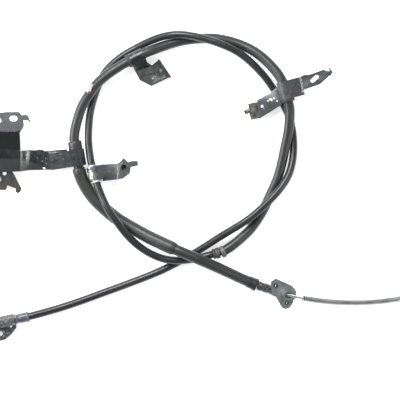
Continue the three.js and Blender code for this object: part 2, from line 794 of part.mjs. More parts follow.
// The slotted plate stands higher than the arm, on a sloping wall
const buildLeftPlate = (deck) => {
  const sheet = foldedSheet([[-1, 0], [2, 0], [21, PLATE_RISE], [42, PLATE_RISE]], SHEET, 44,
    standAt(8, 150.6, deck - SHEET / 2, 0, -1));
  const outline = prism(
    [[-12, 113.6], [0, 113.4], [8, 112.3], [19.5, 112], [22.5, 115.4], [24.4, 121], [25, 125.5], [24.2, 128.2],
      [20.8, 133], [20.6, 152.4], [-12, 152.4]],
    0,
    40
  );
  const hook = prism([[19, 114], [22.5, 115.6], [28, 115.2], [29.4, 116.6], [30.4, 119.6], [31.9, 123], [30.2, 122.4],
    [28.8, 120.8], [24.4, 120.6], [19, 121]], deck + PLATE_RISE - SHEET / 2, deck + PLATE_RISE + SHEET / 2);
  const slot = slotDrill([13.3, 119], [15.7, 119], 3, deck + 6, 40);
  const edgeHole = drill(0.3, 121, 2.3, deck + 6, 40);
  return union(sheet.intersect(outline), hook).subtract(slot).subtract(edgeHole);
};

const buildLeftBracket = () => {
  const inner = THICK_DIAMETER / 2 + CABLE_FIT + GROMMET_WALL + FIT_GAP;
  const loop = strap(inner, STRAP_SHEET, 30, 0.6, LEFT_CLAMP_WIDTH, leftFrame);
  const deck = LEFT_CLAMP_HEIGHT + 0.6;
  const bump = prism([[36.4, 150.6], [39, 149.4], [43, 150.2], [43.6, 154.6], [37.6, 155.6]], deck, deck + BUMP_RISE);
  return toGeometry(union(loop, buildLeftArm(deck), bump, buildLeftPlate(deck)));
};

const buildLeftGrommet = () => {
  const inner = THICK_DIAMETER / 2 + CABLE_FIT;
  const outer = inner + GROMMET_WALL;
  const half = LEFT_CLAMP_WIDTH / 2;
  return turned(
    [
      [inner, -half],
      [outer, -half],
      [outer, half + FIT_GAP],
      [outer + 0.2, half + 0.6],
      [outer + 0.2, half + 8],
      [outer - 0.6, half + 9.4],
      [inner, half + 9.4],
    ],
    leftFrame
  );
};

const lugTop = LEFT_CLAMP_HEIGHT - SHEET / 2 + 0.6 - FIT_GAP;
const lugRivetPlace = inPlan(-1.4, 179.4);

const buildLeftLug = () => {
  const plate = prism(
    [[-12, 173.6], [-12, 190], [6, 190], [7.5, 185.4], [16, 188.5], [15.6, 191.4], [17.4, 193.2], [20.4, 192],
      [21.6, 188.4], [13.6, 173.2], [9, 168], [-12, 168]],
    lugTop - SHEET,
    lugTop
  );
  const hole = drill(4.7, 173.4, 2.2, 0, 30);
  const frame = new THREE.Matrix4().setPosition(lugRivetPlace.x, lugRivetPlace.y, 0);
  return toGeometry(plate.subtract(hole).subtract(rod(RIVET_SHANK + FIT_GAP, 0, 30, frame, 16)));
};

const buildLugRivet = () => {
  const above = FIT_GAP;
  const below = -SHEET - FIT_GAP;
  return turned(
    [
      [0, below - 1.4],
      [RIVET_HEAD - 0.6, below - 1.4],
      [RIVET_HEAD, below - 0.8],
      [RIVET_HEAD, below],
      [RIVET_SHANK, below],
      [RIVET_SHANK, above],
      [RIVET_HEAD, above],
      [RIVET_HEAD - 0.4, above + 1.2],
      [RIVET_SHANK, above + 2],
      [0, above + 2.2],
    ],
    new THREE.Matrix4().setPosition(lugRivetPlace.x, lugRivetPlace.y, lugTop)
  );
};

// Drum end

const drumFrame = (u, v) => {
  const along = new THREE.Vector3(15.5, -5.05, 0).normalize();
  return frameAlong(at(u, v, DRUM_END_HEIGHT), along);
};

const buildDrumBoot = () => {
  const inner = DRUM_SIDE_DIAMETER / 2 + CABLE_FIT + 0.2;
  return turned(
    [[inner, -9], [inner + 0.6, -9], [inner + 0.7, 0.6], [inner - 0.2, 1.8], [3.6, 1.8], [3.6, 0.5], [inner, 0.5]],
    frameBetween("drumSideIn", "drumSideEnd", 1)
  );
};

const FERRULE_LENGTH = 18;
const FERRULE_BORE = 3.5;

const buildDrumFerrule = () => {
  return turned(
    [
      [FERRULE_BORE, 0],
      [5, 0],
      [5.2, 0.4],
      [5.2, 4],
      [4.7, 4.8],
      [4.7, 6.6],
      [5.2, 7.4],
      [5.2, 11],
      [4.7, 11.8],
      [4.7, 13.4],
      [5.2, 14.2],
      [5.2, FERRULE_LENGTH],
      [FERRULE_BORE, FERRULE_LENGTH],
    ],
    drumFrame(257.6, 285.3)
  );
};

const FLANGE_TILT = 0.7; // fall of the flange's face for each mm along the cable
const FLANGE_SHEET = 3;
const BOSS_RADIUS = 5.6;
const BOSS_RISE = 0.6; // of the boss round the bore over the flange's face
const NECK_LENGTH = 12.8;
const MOUTH_DEPTH = 2.5; // from the middle of the flange back to the close-fitting mouth
const MOUTH_LENGTH = 2;

const buildDrumFlange = () => {
  const outline = [
    [270.2, 281.4], [275.4, 277.9], [292.5, 285.8], [296.6, 291.4], [296, 294.9], [294.5, 297.3], [292.5, 304],
    [289.8, 307.8], [285.7, 309], [282.2, 307.8], [279.8, 304], [276.3, 297.6], [274.3, 295.2], [271.6, 294],
  ];
  const frame = drumFrame(FLANGE_U, FLANGE_V + 0.1);
  const slope = [[-30, 30 * FLANGE_TILT], [30, -30 * FLANGE_TILT]];
  const low = DRUM_END_HEIGHT - FLANGE_SHEET / 2;
  const plate = foldedSheet(slope, FLANGE_SHEET, 60, standAt(FLANGE_U, FLANGE_V + 1.8, low, 15.5, 6))
    .intersect(prism(outline, -8, 50));
  const depth = 40;
  const deep = low - (depth - FLANGE_SHEET - BOSS_RISE) * Math.hypot(1, FLANGE_TILT);
  const behind = foldedSheet(slope, depth, 80, standAt(FLANGE_U, FLANGE_V + 1.8, deep, 15.5, 6));
  const neck = rod(BOSS_RADIUS, -NECK_LENGTH, NECK_LENGTH, frame).intersect(behind);
  const bore = union(
    rod(2.9, -30, -MOUTH_DEPTH - MOUTH_LENGTH, frame, 16),
    rod(WIRE_DIAMETER / 2 + MOUTH_FIT, -30, 30, frame, 16),
    rod(3.2, -MOUTH_DEPTH, 30, frame, 16)
  );
  const upperHole = drill(275.1, 285.3, 2.5, -8, 50);
  const lowerHole = drill(286.6, 302.8, 2.2, -8, 50);
  return toGeometry(union(plate, neck).subtract(bore).subtract(upperHole).subtract(lowerHole));
};

const WIRE_FROM_U = 259;
const WIRE_TO_U = 424;
const SPRING_FROM_U = 301.4;

const buildDrumWire = () =>
  alongCurve(ring(WIRE_DIAMETER / 2, 0, TUBE_SIDES), new WireArc(WIRE_FROM_U, WIRE_TO_U), ARC_STEPS);

const springArcAt = (length) => {
  const start = Math.asin((SPRING_FROM_U - ARC_U) / ARC_RADIUS);
  return ARC_U + ARC_RADIUS * Math.sin(start + length / (ARC_RADIUS * GRID));
};

const springEndU = springArcAt(SPRING_TURNS * SPRING_PITCH);

const buildReturnSpring = () => {
  const core = new WireArc(SPRING_FROM_U, springEndU);
  const coil = new Coil(core, (SPRING_OUTSIDE - SPRING_WIRE) / 2, SPRING_TURNS);
  return alongCurve(ring(SPRING_WIRE / 2, 0, SPRING_SIDES), coil, SPRING_TURNS * SPRING_STEPS_PER_TURN);
};

const buildSpringSeat = () => {
  const frame = frameOn(new WireArc(springArcAt(SPRING_TURNS * SPRING_PITCH + 1.2), 430), 0);
  const inner = WIRE_DIAMETER / 2 + FIT_GAP;
  return turned([[inner, 0], [4.6, 0], [4.6, 1.4], [inner, 1.4]], frame);
};

const buildDrumNipple = () => {
  const frame = frameOn(new WireArc(WIRE_TO_U, 440), 0);
  const hold = WIRE_DIAMETER / 2 + FIT_GAP;
  return turned(
    [[0, FIT_GAP], [hold, FIT_GAP], [hold, -7.6], [3.6, -7.6], [4.6, -6.6], [4.6, 1.6], [3, 3.2], [0, 3.2]],
    frame
  );
};

// Tape tag stuck round the thick covering

const TAG_LENGTH = 10.8;
const TAG_START = 1.6;

const buildTag = () => {
  const inner = THICK_DIAMETER / 2 + CABLE_FIT;
  const frame = frameBetween("tagIn", "tagOut", 0.1);
  const half = new THREE.Shape(circle(inner + 0.6, 16));
  const tube = toSolid(extruded(half, TAG_LENGTH).translate(0, 0, TAG_START).applyMatrix4(frame));
  const bore = toSolid(extruded(new THREE.Shape(circle(inner, 16)), 30).translate(0, 0, -10).applyMatrix4(frame));
  const outside = prism([[97.6, 79], [84, 88], [80.6, 100], [90.6, 95.4], [92.4, 88], [95.8, 82.4]], THICK_OVER_THIN - 2, 40);
  return toGeometry(tube.subtract(bore).intersect(outside));
};

const meshes = [
  ["conduit_thin", buildThinCovering(), PAINT.thin],
  ["conduit_thick", buildThickCovering(), PAINT.thick],
  ["protector_sleeve", buildSleeve(), PAINT.sleeve],
  ["conduit_drum_side", buildDrumSideCovering(), PAINT.thick],
  ["lever_ferrule", buildLeverFerrule(), PAINT.zinc],
  ["lever_bracket", buildLeverBracket(), PAINT.darkZinc],
  ["lever_wire", buildLeverWire(), PAINT.steel],
  ["lever_nipple", buildLeverNipple(), PAINT.steel],
  ["crimp_ferrule", buildCrimpFerrule(), PAINT.darkZinc],
  ["crimp_ring", buildCrimpRing(), PAINT.zinc],
  ["p_clip", buildPClip(), PAINT.blackSheet],
  ["p_clip_collar", buildPClipCollar(), PAINT.rubber],
  ["right_bracket", buildRightBracket(), PAINT.greySheet],
  ["right_grommet", buildRightGrommet(), PAINT.rubber],
  ["clip_liner", buildClipLiner(), PAINT.zinc],
  ["clip_bracket", buildClipBracket(), PAINT.darkZinc],
  ["clip_nut", buildClipNut(), PAINT.darkZinc],
  ["left_bracket", buildLeftBracket(), PAINT.blackSheet],
  ["left_grommet", buildLeftGrommet(), PAINT.rubber],
  ["left_lug", buildLeftLug(), PAINT.blackSheet],
  ["lug_rivet", buildLugRivet(), PAINT.zinc],
  ["drum_boot", buildDrumBoot(), PAINT.thin],
  ["drum_ferrule", buildDrumFerrule(), PAINT.darkZinc],
  ["drum_flange", buildDrumFlange(), PAINT.oliveZinc],
  ["drum_wire", buildDrumWire(), PAINT.steel],
  ["return_spring", buildReturnSpring(), PAINT.steel],
  ["spring_seat", buildSpringSeat(), PAINT.steel],
  ["drum_nipple", buildDrumNipple(), PAINT.zinc],
  ["tape_tag", buildTag(), PAINT.tape],
];

const group = new THREE.Group();
group.name = "parking_brake_cable";
for (const [name, geometry, [color, roughness, metalness]] of meshes) {
  const mesh = new THREE.Mesh(geometry, new THREE.MeshStandardMaterial({ color, roughness, metalness }));
  mesh.name = name;
  group.add(mesh);
}

// The middle of the object's base becomes the origin
const box = new THREE.Box3().setFromObject(group);
const centre = box.getCenter(new THREE.Vector3());
group.position.set(-centre.x, -centre.y, -box.min.z);
group.updateMatrixWorld(true);

export default group;
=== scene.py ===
# %% [markdown]
# # Parking brake cable
# A parking brake cable is one steel wire that slides in a black covering. This lesson dresses the
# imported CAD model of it: the coverings become smooth tubes, the sheet brackets get rounded edges,
# the wire gets its strands, and every piece gets the finish that such a piece has. Everything is
# in metres, with Z up.

import json
import math

import bmesh
import bpy
from mathutils import Matrix, Vector

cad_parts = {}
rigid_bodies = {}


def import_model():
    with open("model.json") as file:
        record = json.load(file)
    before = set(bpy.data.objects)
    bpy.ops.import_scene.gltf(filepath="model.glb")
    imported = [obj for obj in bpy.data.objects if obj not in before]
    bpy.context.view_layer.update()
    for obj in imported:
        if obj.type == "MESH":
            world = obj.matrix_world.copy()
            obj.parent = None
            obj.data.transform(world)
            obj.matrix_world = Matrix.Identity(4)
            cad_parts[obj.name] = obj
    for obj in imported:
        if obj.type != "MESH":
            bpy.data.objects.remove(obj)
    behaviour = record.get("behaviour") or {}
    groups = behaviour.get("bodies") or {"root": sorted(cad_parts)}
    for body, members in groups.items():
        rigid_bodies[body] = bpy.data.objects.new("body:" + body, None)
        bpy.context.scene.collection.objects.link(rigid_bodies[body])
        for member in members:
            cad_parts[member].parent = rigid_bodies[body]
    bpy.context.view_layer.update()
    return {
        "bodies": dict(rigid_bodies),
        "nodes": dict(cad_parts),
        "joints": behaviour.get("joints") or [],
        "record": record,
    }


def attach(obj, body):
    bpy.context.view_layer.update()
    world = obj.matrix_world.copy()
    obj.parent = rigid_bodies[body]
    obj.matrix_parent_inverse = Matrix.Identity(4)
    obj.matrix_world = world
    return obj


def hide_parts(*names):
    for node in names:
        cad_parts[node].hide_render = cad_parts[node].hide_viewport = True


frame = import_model()

# %% [markdown]
# ## One layout for the CAD and the looks
# The CAD source places everything on a square layout grid seen from above, u to the right and v
# downwards. Here the same grid is turned into metres. The hinge that lets the bare wire slide along
# its own arc sits at a known grid point, so its place in the frame tells where the grid lies.

# %% The layout grid
GRID = 0.0011  # metres for one unit
ARC_U, ARC_V, ARC_HEIGHT = 353.5, 28, 0.011
ARC_RADIUS = 274.8 * GRID

wire_joint = next(j for j in frame["joints"] if j["name"] == "drum_wire_stroke")
ORIGIN = Vector(wire_joint["pos_m"]) - Vector((ARC_U * GRID, -ARC_V * GRID, ARC_HEIGHT))


def at(u, v, height_mm):
    """A point of the layout grid, in metres in the row frame."""
    return ORIGIN + Vector((u * GRID, -v * GRID, height_mm / 1000))


print("grid origin:", [round(c, 4) for c in ORIGIN])

# %% [markdown]
# ## The cable's route
# The route is the list of points that the CAD uses, from the lever end to the drum end, with the
# height in millimetres and a mark wherever a covering begins, ends or runs straight through a clamp.
# Strands that cross lie on each other, so the heights rise and fall by their diameters.

# %% Route points
THIN, THICK, DRUM_SIDE, SLEEVE = 8.4, 11.0, 12.0, 14.6
CROSS = 0.6
THIN_LOW, THICK_LOW, SLEEVE_LOW = THIN / 2, THICK / 2, SLEEVE / 2
THIN_OVER_THICK = THICK_LOW + (THICK + THIN) / 2 + CROSS
THICK_OVER_THIN = THIN_LOW + (THICK + THIN) / 2 + CROSS
THIN_OVER_THIN = THIN_LOW + THIN + CROSS
THIN_OVER_SLEEVE = SLEEVE_LOW + (SLEEVE + THIN) / 2 + 2 * CROSS
DRUM_OVER_THIN = THIN_OVER_THIN + (THIN + DRUM_SIDE) / 2 + CROSS

ROUTE = [
    (14.5, 319.2, 9.5, "leverMouth"), (23, 317.5, 9.5, "thinStart"), (31, 315.9, 9.5, "leverOut"),
    (45, 312.2, 6.8), (63, 307, THIN_LOW), (82, 300.6, THIN_LOW), (100, 294, THIN_LOW),
    (130, 283, THIN_LOW), (158, 272, THIN_LOW), (171, 265.8, THIN_LOW), (182, 260, THIN_LOW),
    (192, 254.6, 4.6), (205, 246.4, 7.4), (225, 233.6, 12), (240, 224.6, 15.2),
    (250, 217.8, THIN_OVER_THICK), (260, 209.3, THIN_OVER_THICK), (270.4, 199.3, 15.8),
    (281.2, 187, 14.6), (288.6, 174.5, 12.2), (292.6, 160, 8.6), (293.6, 147, 6), (293, 134, THIN_LOW),
    (290.4, 121, THIN_LOW), (286.6, 110.5, THIN_LOW), (281.8, 101.2, THIN_LOW), (274.6, 90.2, THIN_LOW),
    (264.6, 76.4, 5.5), (249.6, 61.2, 9), (236.8, 51.9, 13), (222, 45, THIN_OVER_THICK),
    (207, 40, THIN_OVER_THICK), (190, 36, THIN_OVER_THICK), (176, 34.9, 14.6), (162, 36.9, 11),
    (149, 41.4, 7), (135, 48.3, 4.4), (121, 56.6, THIN_LOW), (110, 66, THIN_LOW),
    (102.5, 75.5, THIN_LOW), (97, 88, THIN_LOW), (93, 100, 4.7), (90.2, 112, 5.6), (88.8, 125, 7),
    (88.4, 140, 9), (89.6, 152, 10.4), (91.4, 162.5, 12.4, "collarIn"), (97.8, 186, 16, "collarOut"),
    (101.8, 195.8, 17.6), (108, 208.5, THIN_OVER_SLEEVE), (118, 223, THIN_OVER_SLEEVE),
    (128, 235.8, 18), (139, 246, 15.8), (150, 253.2, 14), (163, 258.5, THIN_OVER_THIN),
    (176, 260.3, THIN_OVER_THIN), (190, 259.4, THIN_OVER_THIN), (200, 257.6, THIN_OVER_THIN),
    (206.5, 255.9, 13, "crimpIn"), (214, 253.9, 12.8, "thinEnd"), (222.8, 251.6, 12, "thickStart"),
    (229, 247.7, 11, "thickOut"), (236, 242.5, 9.3), (243, 236.4, 7.2), (250, 229.5, THICK_LOW),
    (257, 220, THICK_LOW), (263, 210, THICK_LOW), (271.6, 192, 6.2), (277.6, 178, 7.4), (282, 162, 9),
    (284.8, 148, 11), (288, 132, 13.6), (289.3, 119, 15.6), (289.2, 108, 16.8),
    (287.3, 100.4, 17, "rightIn"), (282, 81.4, 17, "rightOut"), (271, 66, 13.6), (255, 52, 9.5),
    (236, 43, 6), (216, 38.5, THICK_LOW), (200, 38.4, THICK_LOW), (186, 39.8, THICK_LOW),
    (174, 42.6, 6.3), (160, 47.4, 9), (144.6, 53.6, 13.0, "pClipIn"), (129.2, 61.2, 13.8, "pClipOut"),
    (119, 67.2, 14.2), (108, 74.6, THICK_OVER_THIN), (97, 84.2, THICK_OVER_THIN, "tagIn"),
    (89.4, 94.6, THICK_OVER_THIN, "tagOut"), (82, 107, 13), (77.5, 120, 12), (75.1, 130, 11.4),
    (74.2, 139.5, 10.8, "leftIn"), (78.8, 168.2, 10.4, "leftOut"), (82.2, 179.6, 8.8), (91, 194.6, 7.6),
    (102.5, 206.8, SLEEVE_LOW), (116, 218, 7.6), (132, 227.8, 9.8), (148.5, 236.7, 14.5),
    (162, 243, 19), (175.3, 249, 22.6, "sleeveEnd"), (190, 255.3, DRUM_OVER_THIN),
    (198, 258.7, DRUM_OVER_THIN), (211, 264.4, 21.5), (225, 270.8, 17), (241, 278.2, 12, "drumSideIn"),
    (255.4, 284.6, 11.2, "drumSideEnd"),
]

# %% [markdown]
# ## A smooth curve through the points
# A Catmull-Rom spline passes through each of its points. The centripetal kind spaces its knots by
# the square root of the distances, so it neither loops nor overshoots where the points come close
# together. It is the curve that the CAD uses too, so both follow the same line.

# %% Route curve
POINTS = [at(*entry[:3]) for entry in ROUTE]
MARKS = {entry[3]: i for i, entry in enumerate(ROUTE) if len(entry) > 3}
STRAIGHT = {
    ("thinStart", "leverOut"), ("collarIn", "collarOut"), ("crimpIn", "thinEnd"),
    ("thickStart", "thickOut"), ("rightIn", "rightOut"), ("pClipIn", "pClipOut"),
    ("leftIn", "leftOut"), ("drumSideIn", "drumSideEnd"),
}


def spline_point(points, place):
    """The centripetal Catmull-Rom point at a place counted in points from the first."""
    i = min(int(place), len(points) - 2)
    t = place - i
    p1, p2 = points[i], points[i + 1]
    p0 = points[i - 1] if i > 0 else p1 * 2 - p2
    p3 = points[i + 2] if i + 2 < len(points) else p2 * 2 - p1
    d0, d1, d2 = (math.sqrt((b - a).length) for a, b in ((p0, p1), (p1, p2), (p2, p3)))
    m1 = ((p1 - p0) / d0 - (p2 - p0) / (d0 + d1) + (p2 - p1) / d1) * d1
    m2 = ((p2 - p1) / d1 - (p3 - p1) / (d1 + d2) + (p3 - p2) / d2) * d1
    cubic = p1 * 2 - p2 * 2 + m1 + m2
    square = p2 * 3 - p1 * 3 - m1 * 2 - m2
    return p1 + m1 * t + square * t**2 + cubic * t**3


DENSE = 2000  # steps in which each leg is first walked


def leg(start, end, step=0.003):
    """Evenly spaced points of the route between two marks."""
    a, b = MARKS[start], MARKS[end]
    dense = [spline_point(POINTS, a + (b - a) * k / DENSE) for k in range(DENSE + 1)]
    if (start, end) in STRAIGHT:
        dense = [dense[0].lerp(dense[-1], k / DENSE) for k in range(DENSE + 1)]
    travelled = [0.0]
    for p, q in zip(dense, dense[1:]):
        travelled.append(travelled[-1] + (q - p).length)
    count = max(1, round(travelled[-1] / step))
    picked, k = [], 0
    for n in range(count + 1):
        while k < DENSE and travelled[k] < travelled[-1] * n / count - 1e-12:
            k += 1
        picked.append(dense[k])
    return picked


def tour(*marks):
    """The route from mark to mark, as one list of points."""
    path = leg(marks[0], marks[1])
    for start, end in zip(marks[1:], marks[2:]):
        path += leg(start, end)[1:]
    return path


def path_length(path):
    return sum((q - p).length for p, q in zip(path, path[1:]))


thin_path = tour("thinStart", "leverOut", "collarIn", "collarOut", "crimpIn", "thinEnd")
thick_path = tour("thickStart", "thickOut", "rightIn", "rightOut", "pClipIn", "pClipOut", "tagIn",
                  "tagOut", "leftIn", "leftOut", "sleeveEnd")
sleeve_path = tour("leftOut", "sleeveEnd")
drum_path = tour("sleeveEnd", "drumSideIn", "drumSideEnd")
for name, path in (
    ("thin", thin_path), ("thick", thick_path), ("sleeve", sleeve_path), ("drum side", drum_path),
):
    print(f"{name}: {path_length(path) * 1000:.0f} mm in {len(path)} points")

# %% [markdown]
# ## Camera
# The cable was photographed from straight above. A long lens far away keeps the strands that lie
# higher from looking thicker. The picture is 400 units of the layout grid wide.

# %% Camera
CAMERA_HEIGHT = 2.6  # metres above the cable
PICTURE_WIDTH = 400  # units of the layout grid
camera_data = bpy.data.cameras.new("overhead_camera")
camera = bpy.data.objects.new("overhead_camera", camera_data)
bpy.context.collection.objects.link(camera)
camera.location = at(200, 200, 8) + Vector((0, 0, CAMERA_HEIGHT))
camera_data.lens = camera_data.sensor_width * CAMERA_HEIGHT / (PICTURE_WIDTH * GRID)
camera_data.clip_end = 20
bpy.context.scene.camera = camera
print(f"lens {camera_data.lens:.0f} mm")

# %% [markdown]
# ## Coverings as swept tubes
# A covering is extruded plastic, so it is one round section swept along the route. Each ring of
# vertices is turned on from the one before it by the least turn that follows the bend, so the tube
# never twists. Its UV map runs round the tube and along it, for patterns that follow its surface.

# %% Tube maker
def moved_frames(path):
    """A direction, and two sides that don't twist, at each point of a path."""
    frames = []
    side = None
    for i, p in enumerate(path):
        ahead = (path[min(i + 1, len(path) - 1)] - path[max(i - 1, 0)]).normalized()
        if side is None:
            side = ahead.orthogonal().normalized()
        side = (side - ahead * side.dot(ahead)).normalized()
        frames.append((p, side, ahead.cross(side)))
    return frames


def new_piece(name, mesh):
    piece = bpy.data.objects.new(name, mesh)
    bpy.context.collection.objects.link(piece)
    return piece


def tube(name, path, radius, bore=0.0, sides=28):
    """A closed tube, or a pipe if it has a bore, swept along a path."""
    frames = moved_frames(path)
    shell = [(radius(i) if callable(radius) else radius) for i in range(len(path))]
    rings = [(frame, r) for frame, r in zip(frames, shell)]
    if bore:
        rings += [(frame, bore) for frame in reversed(frames)]
    mesh = bpy.data.meshes.new(name)
    verts, faces, uvs = [], [], []
    for (p, side, up), r in rings:
        for k in range(sides):
            angle = math.tau * k / sides
            verts.append(p + side * math.cos(angle) * r + up * math.sin(angle) * r)
    count = len(rings)
    for i in range(count if bore else count - 1):
        j = (i + 1) % count
        for k in range(sides):
            m = (k + 1) % sides
            faces.append((i * sides + k, i * sides + m, j * sides + m, j * sides + k))
            left, right = k / sides, k / sides + 1 / sides
            uvs += [(left, i), (right, i), (right, i + 1), (left, i + 1)]
    if not bore:
        for first, order in ((0, 1), ((count - 1) * sides, -1)):
            faces.append([first + k for k in range(sides)][::-order])
            uvs += [(0.5, 0.0)] * sides
    mesh.from_pydata(verts, [], faces)
    spread = path_length(path) / max(1, len(path) - 1) * 100
    layer = mesh.uv_layers.new(name="UVMap")
    for loop, (a, b) in zip(layer.data, uvs):
        loop.uv = (a, b * spread)
    mesh.update()
    bm = bmesh.new()
    bm.from_mesh(mesh)
    bmesh.ops.recalc_face_normals(bm, faces=bm.faces)
    bm.to_mesh(mesh)
    bm.free()
    mesh.shade_smooth()
    mesh.set_sharp_from_angle(angle=math.radians(40))
    return new_piece(name, mesh)


def softened(path, radius, lip=0.0008):
    """The radius at each point of a path, drawn in a little at both ends."""
    def at_point(i):
        return radius - lip if i in (0, len(path) - 1) else radius
    return at_point


SLEEVE_BORE = 0.00605
DRUM_SIDE_BORE = 0.0028
thin_tube = tube("thin_covering", thin_path, softened(thin_path, THIN / 2000))
thick_tube = tube("thick_covering", thick_path[:-1], softened(thick_path[:-1], THICK / 2000))
sleeve_tube = tube("sleeve_covering", sleeve_path, softened(sleeve_path, SLEEVE / 2000), SLEEVE_BORE)
drum_tube = tube(
    "drum_side_covering", drum_path, softened(drum_path, DRUM_SIDE / 2000, 0.0003), DRUM_SIDE_BORE)
for piece, node, slot_name in (
    (thin_tube, "conduit_thin", "thin_jacket"),
    (thick_tube, "conduit_thick", "thick_jacket"),
    (sleeve_tube, "protector_sleeve", "sleeve"),
    (drum_tube, "conduit_drum_side", "thick_jacket"),
):
    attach(piece, "covering")
    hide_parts(node)
    print(piece.name, len(piece.data.polygons), "faces")

# %% [markdown]
# ## Where the coverings end
# Each covering's far end runs into another piece of the cable.

# %% [markdown]
# ## Shared shading effects
# Two node groups give every material its small irregularities. One mixes noise at a chosen size and
# contrast into a mask, for tints, wear and bump. The other is a ragged spot round a given place,
# for paint chips, marks, painted highlights and painted shade. Both read the object's own coordinates.

# %% Shading groups
def new_group(name, inputs, outputs):
    """A shader node group with its sockets, and its input and output nodes."""
    group = bpy.data.node_groups.new(name, "ShaderNodeTree")
    for socket, kind, value in inputs:
        made = group.interface.new_socket(name=socket, in_out="INPUT", socket_type=kind)
        if value is not None:
            made.default_value = value
    for socket in outputs:
        group.interface.new_socket(name=socket, in_out="OUTPUT", socket_type="NodeSocketFloat")
    return group, group.nodes.new("NodeGroupInput"), group.nodes.new("NodeGroupOutput")


grain_group, grain_in, grain_out = new_group(
    "grain",
    [("Vector", "NodeSocketVector", None), ("Scale", "NodeSocketFloat", 200.0),
     ("Low", "NodeSocketFloat", 0.4), ("High", "NodeSocketFloat", 0.6)],
    ["Mask"],
)
grain_noise = grain_group.nodes.new("ShaderNodeTexNoise")
grain_noise.inputs["Detail"].default_value = 5
grain_range = grain_group.nodes.new("ShaderNodeMapRange")
grain_group.links.new(grain_in.outputs["Vector"], grain_noise.inputs["Vector"])
grain_group.links.new(grain_in.outputs["Scale"], grain_noise.inputs["Scale"])
grain_group.links.new(grain_noise.outputs[0], grain_range.inputs["Value"])
grain_group.links.new(grain_in.outputs["Low"], grain_range.inputs["From Min"])
grain_group.links.new(grain_in.outputs["High"], grain_range.inputs["From Max"])
grain_group.links.new(grain_range.outputs[0], grain_out.inputs["Mask"])

spot_group, spot_in, spot_out = new_group(
    "spot",
    [("Vector", "NodeSocketVector", None), ("Centre", "NodeSocketVector", None),
     ("Radius", "NodeSocketFloat", 0.003), ("Raggedness", "NodeSocketFloat", 0.0035)],
    ["Mask"],
)
spot_noise = spot_group.nodes.new("ShaderNodeTexNoise")
spot_noise.inputs["Scale"].default_value = 700
spot_far = spot_group.nodes.new("ShaderNodeVectorMath")
spot_far.operation = "DISTANCE"
spot_rag = spot_group.nodes.new("ShaderNodeMath")
spot_rag.operation = "MULTIPLY_ADD"
spot_inside = spot_group.nodes.new("ShaderNodeMath")
spot_inside.operation = "LESS_THAN"
spot_group.links.new(spot_in.outputs["Vector"], spot_noise.inputs["Vector"])
spot_group.links.new(spot_in.outputs["Vector"], spot_far.inputs[0])
spot_group.links.new(spot_in.outputs["Centre"], spot_far.inputs[1])
spot_group.links.new(spot_noise.outputs[0], spot_rag.inputs[0])
spot_group.links.new(spot_in.outputs["Raggedness"], spot_rag.inputs[1])
spot_group.links.new(spot_far.outputs["Value"], spot_rag.inputs[2])
spot_group.links.new(spot_rag.outputs[0], spot_inside.inputs[0])
spot_group.links.new(spot_in.outputs["Radius"], spot_inside.inputs[1])
spot_group.links.new(spot_inside.outputs[0], spot_out.inputs["Mask"])
print("groups:", grain_group.name, spot_group.name)

# %% [markdown]
# ## Material builder
# A finish is a base colour with up to two noise tints, a roughness that wanders between two values
# and a fine bump. Spots of another colour lie over them. The same builder serves plastic, coated
# sheet and plated metal, because only the numbers differ.

# %% Material builder
ALONG_SCALE = (0.09, 0.004, 1.0)  # draws the grain of extruded plastic out along the covering
WEAR_SCALE = 160  # size of the patches in which the roughness wanders
BUMP_DEPTH = 0.0005


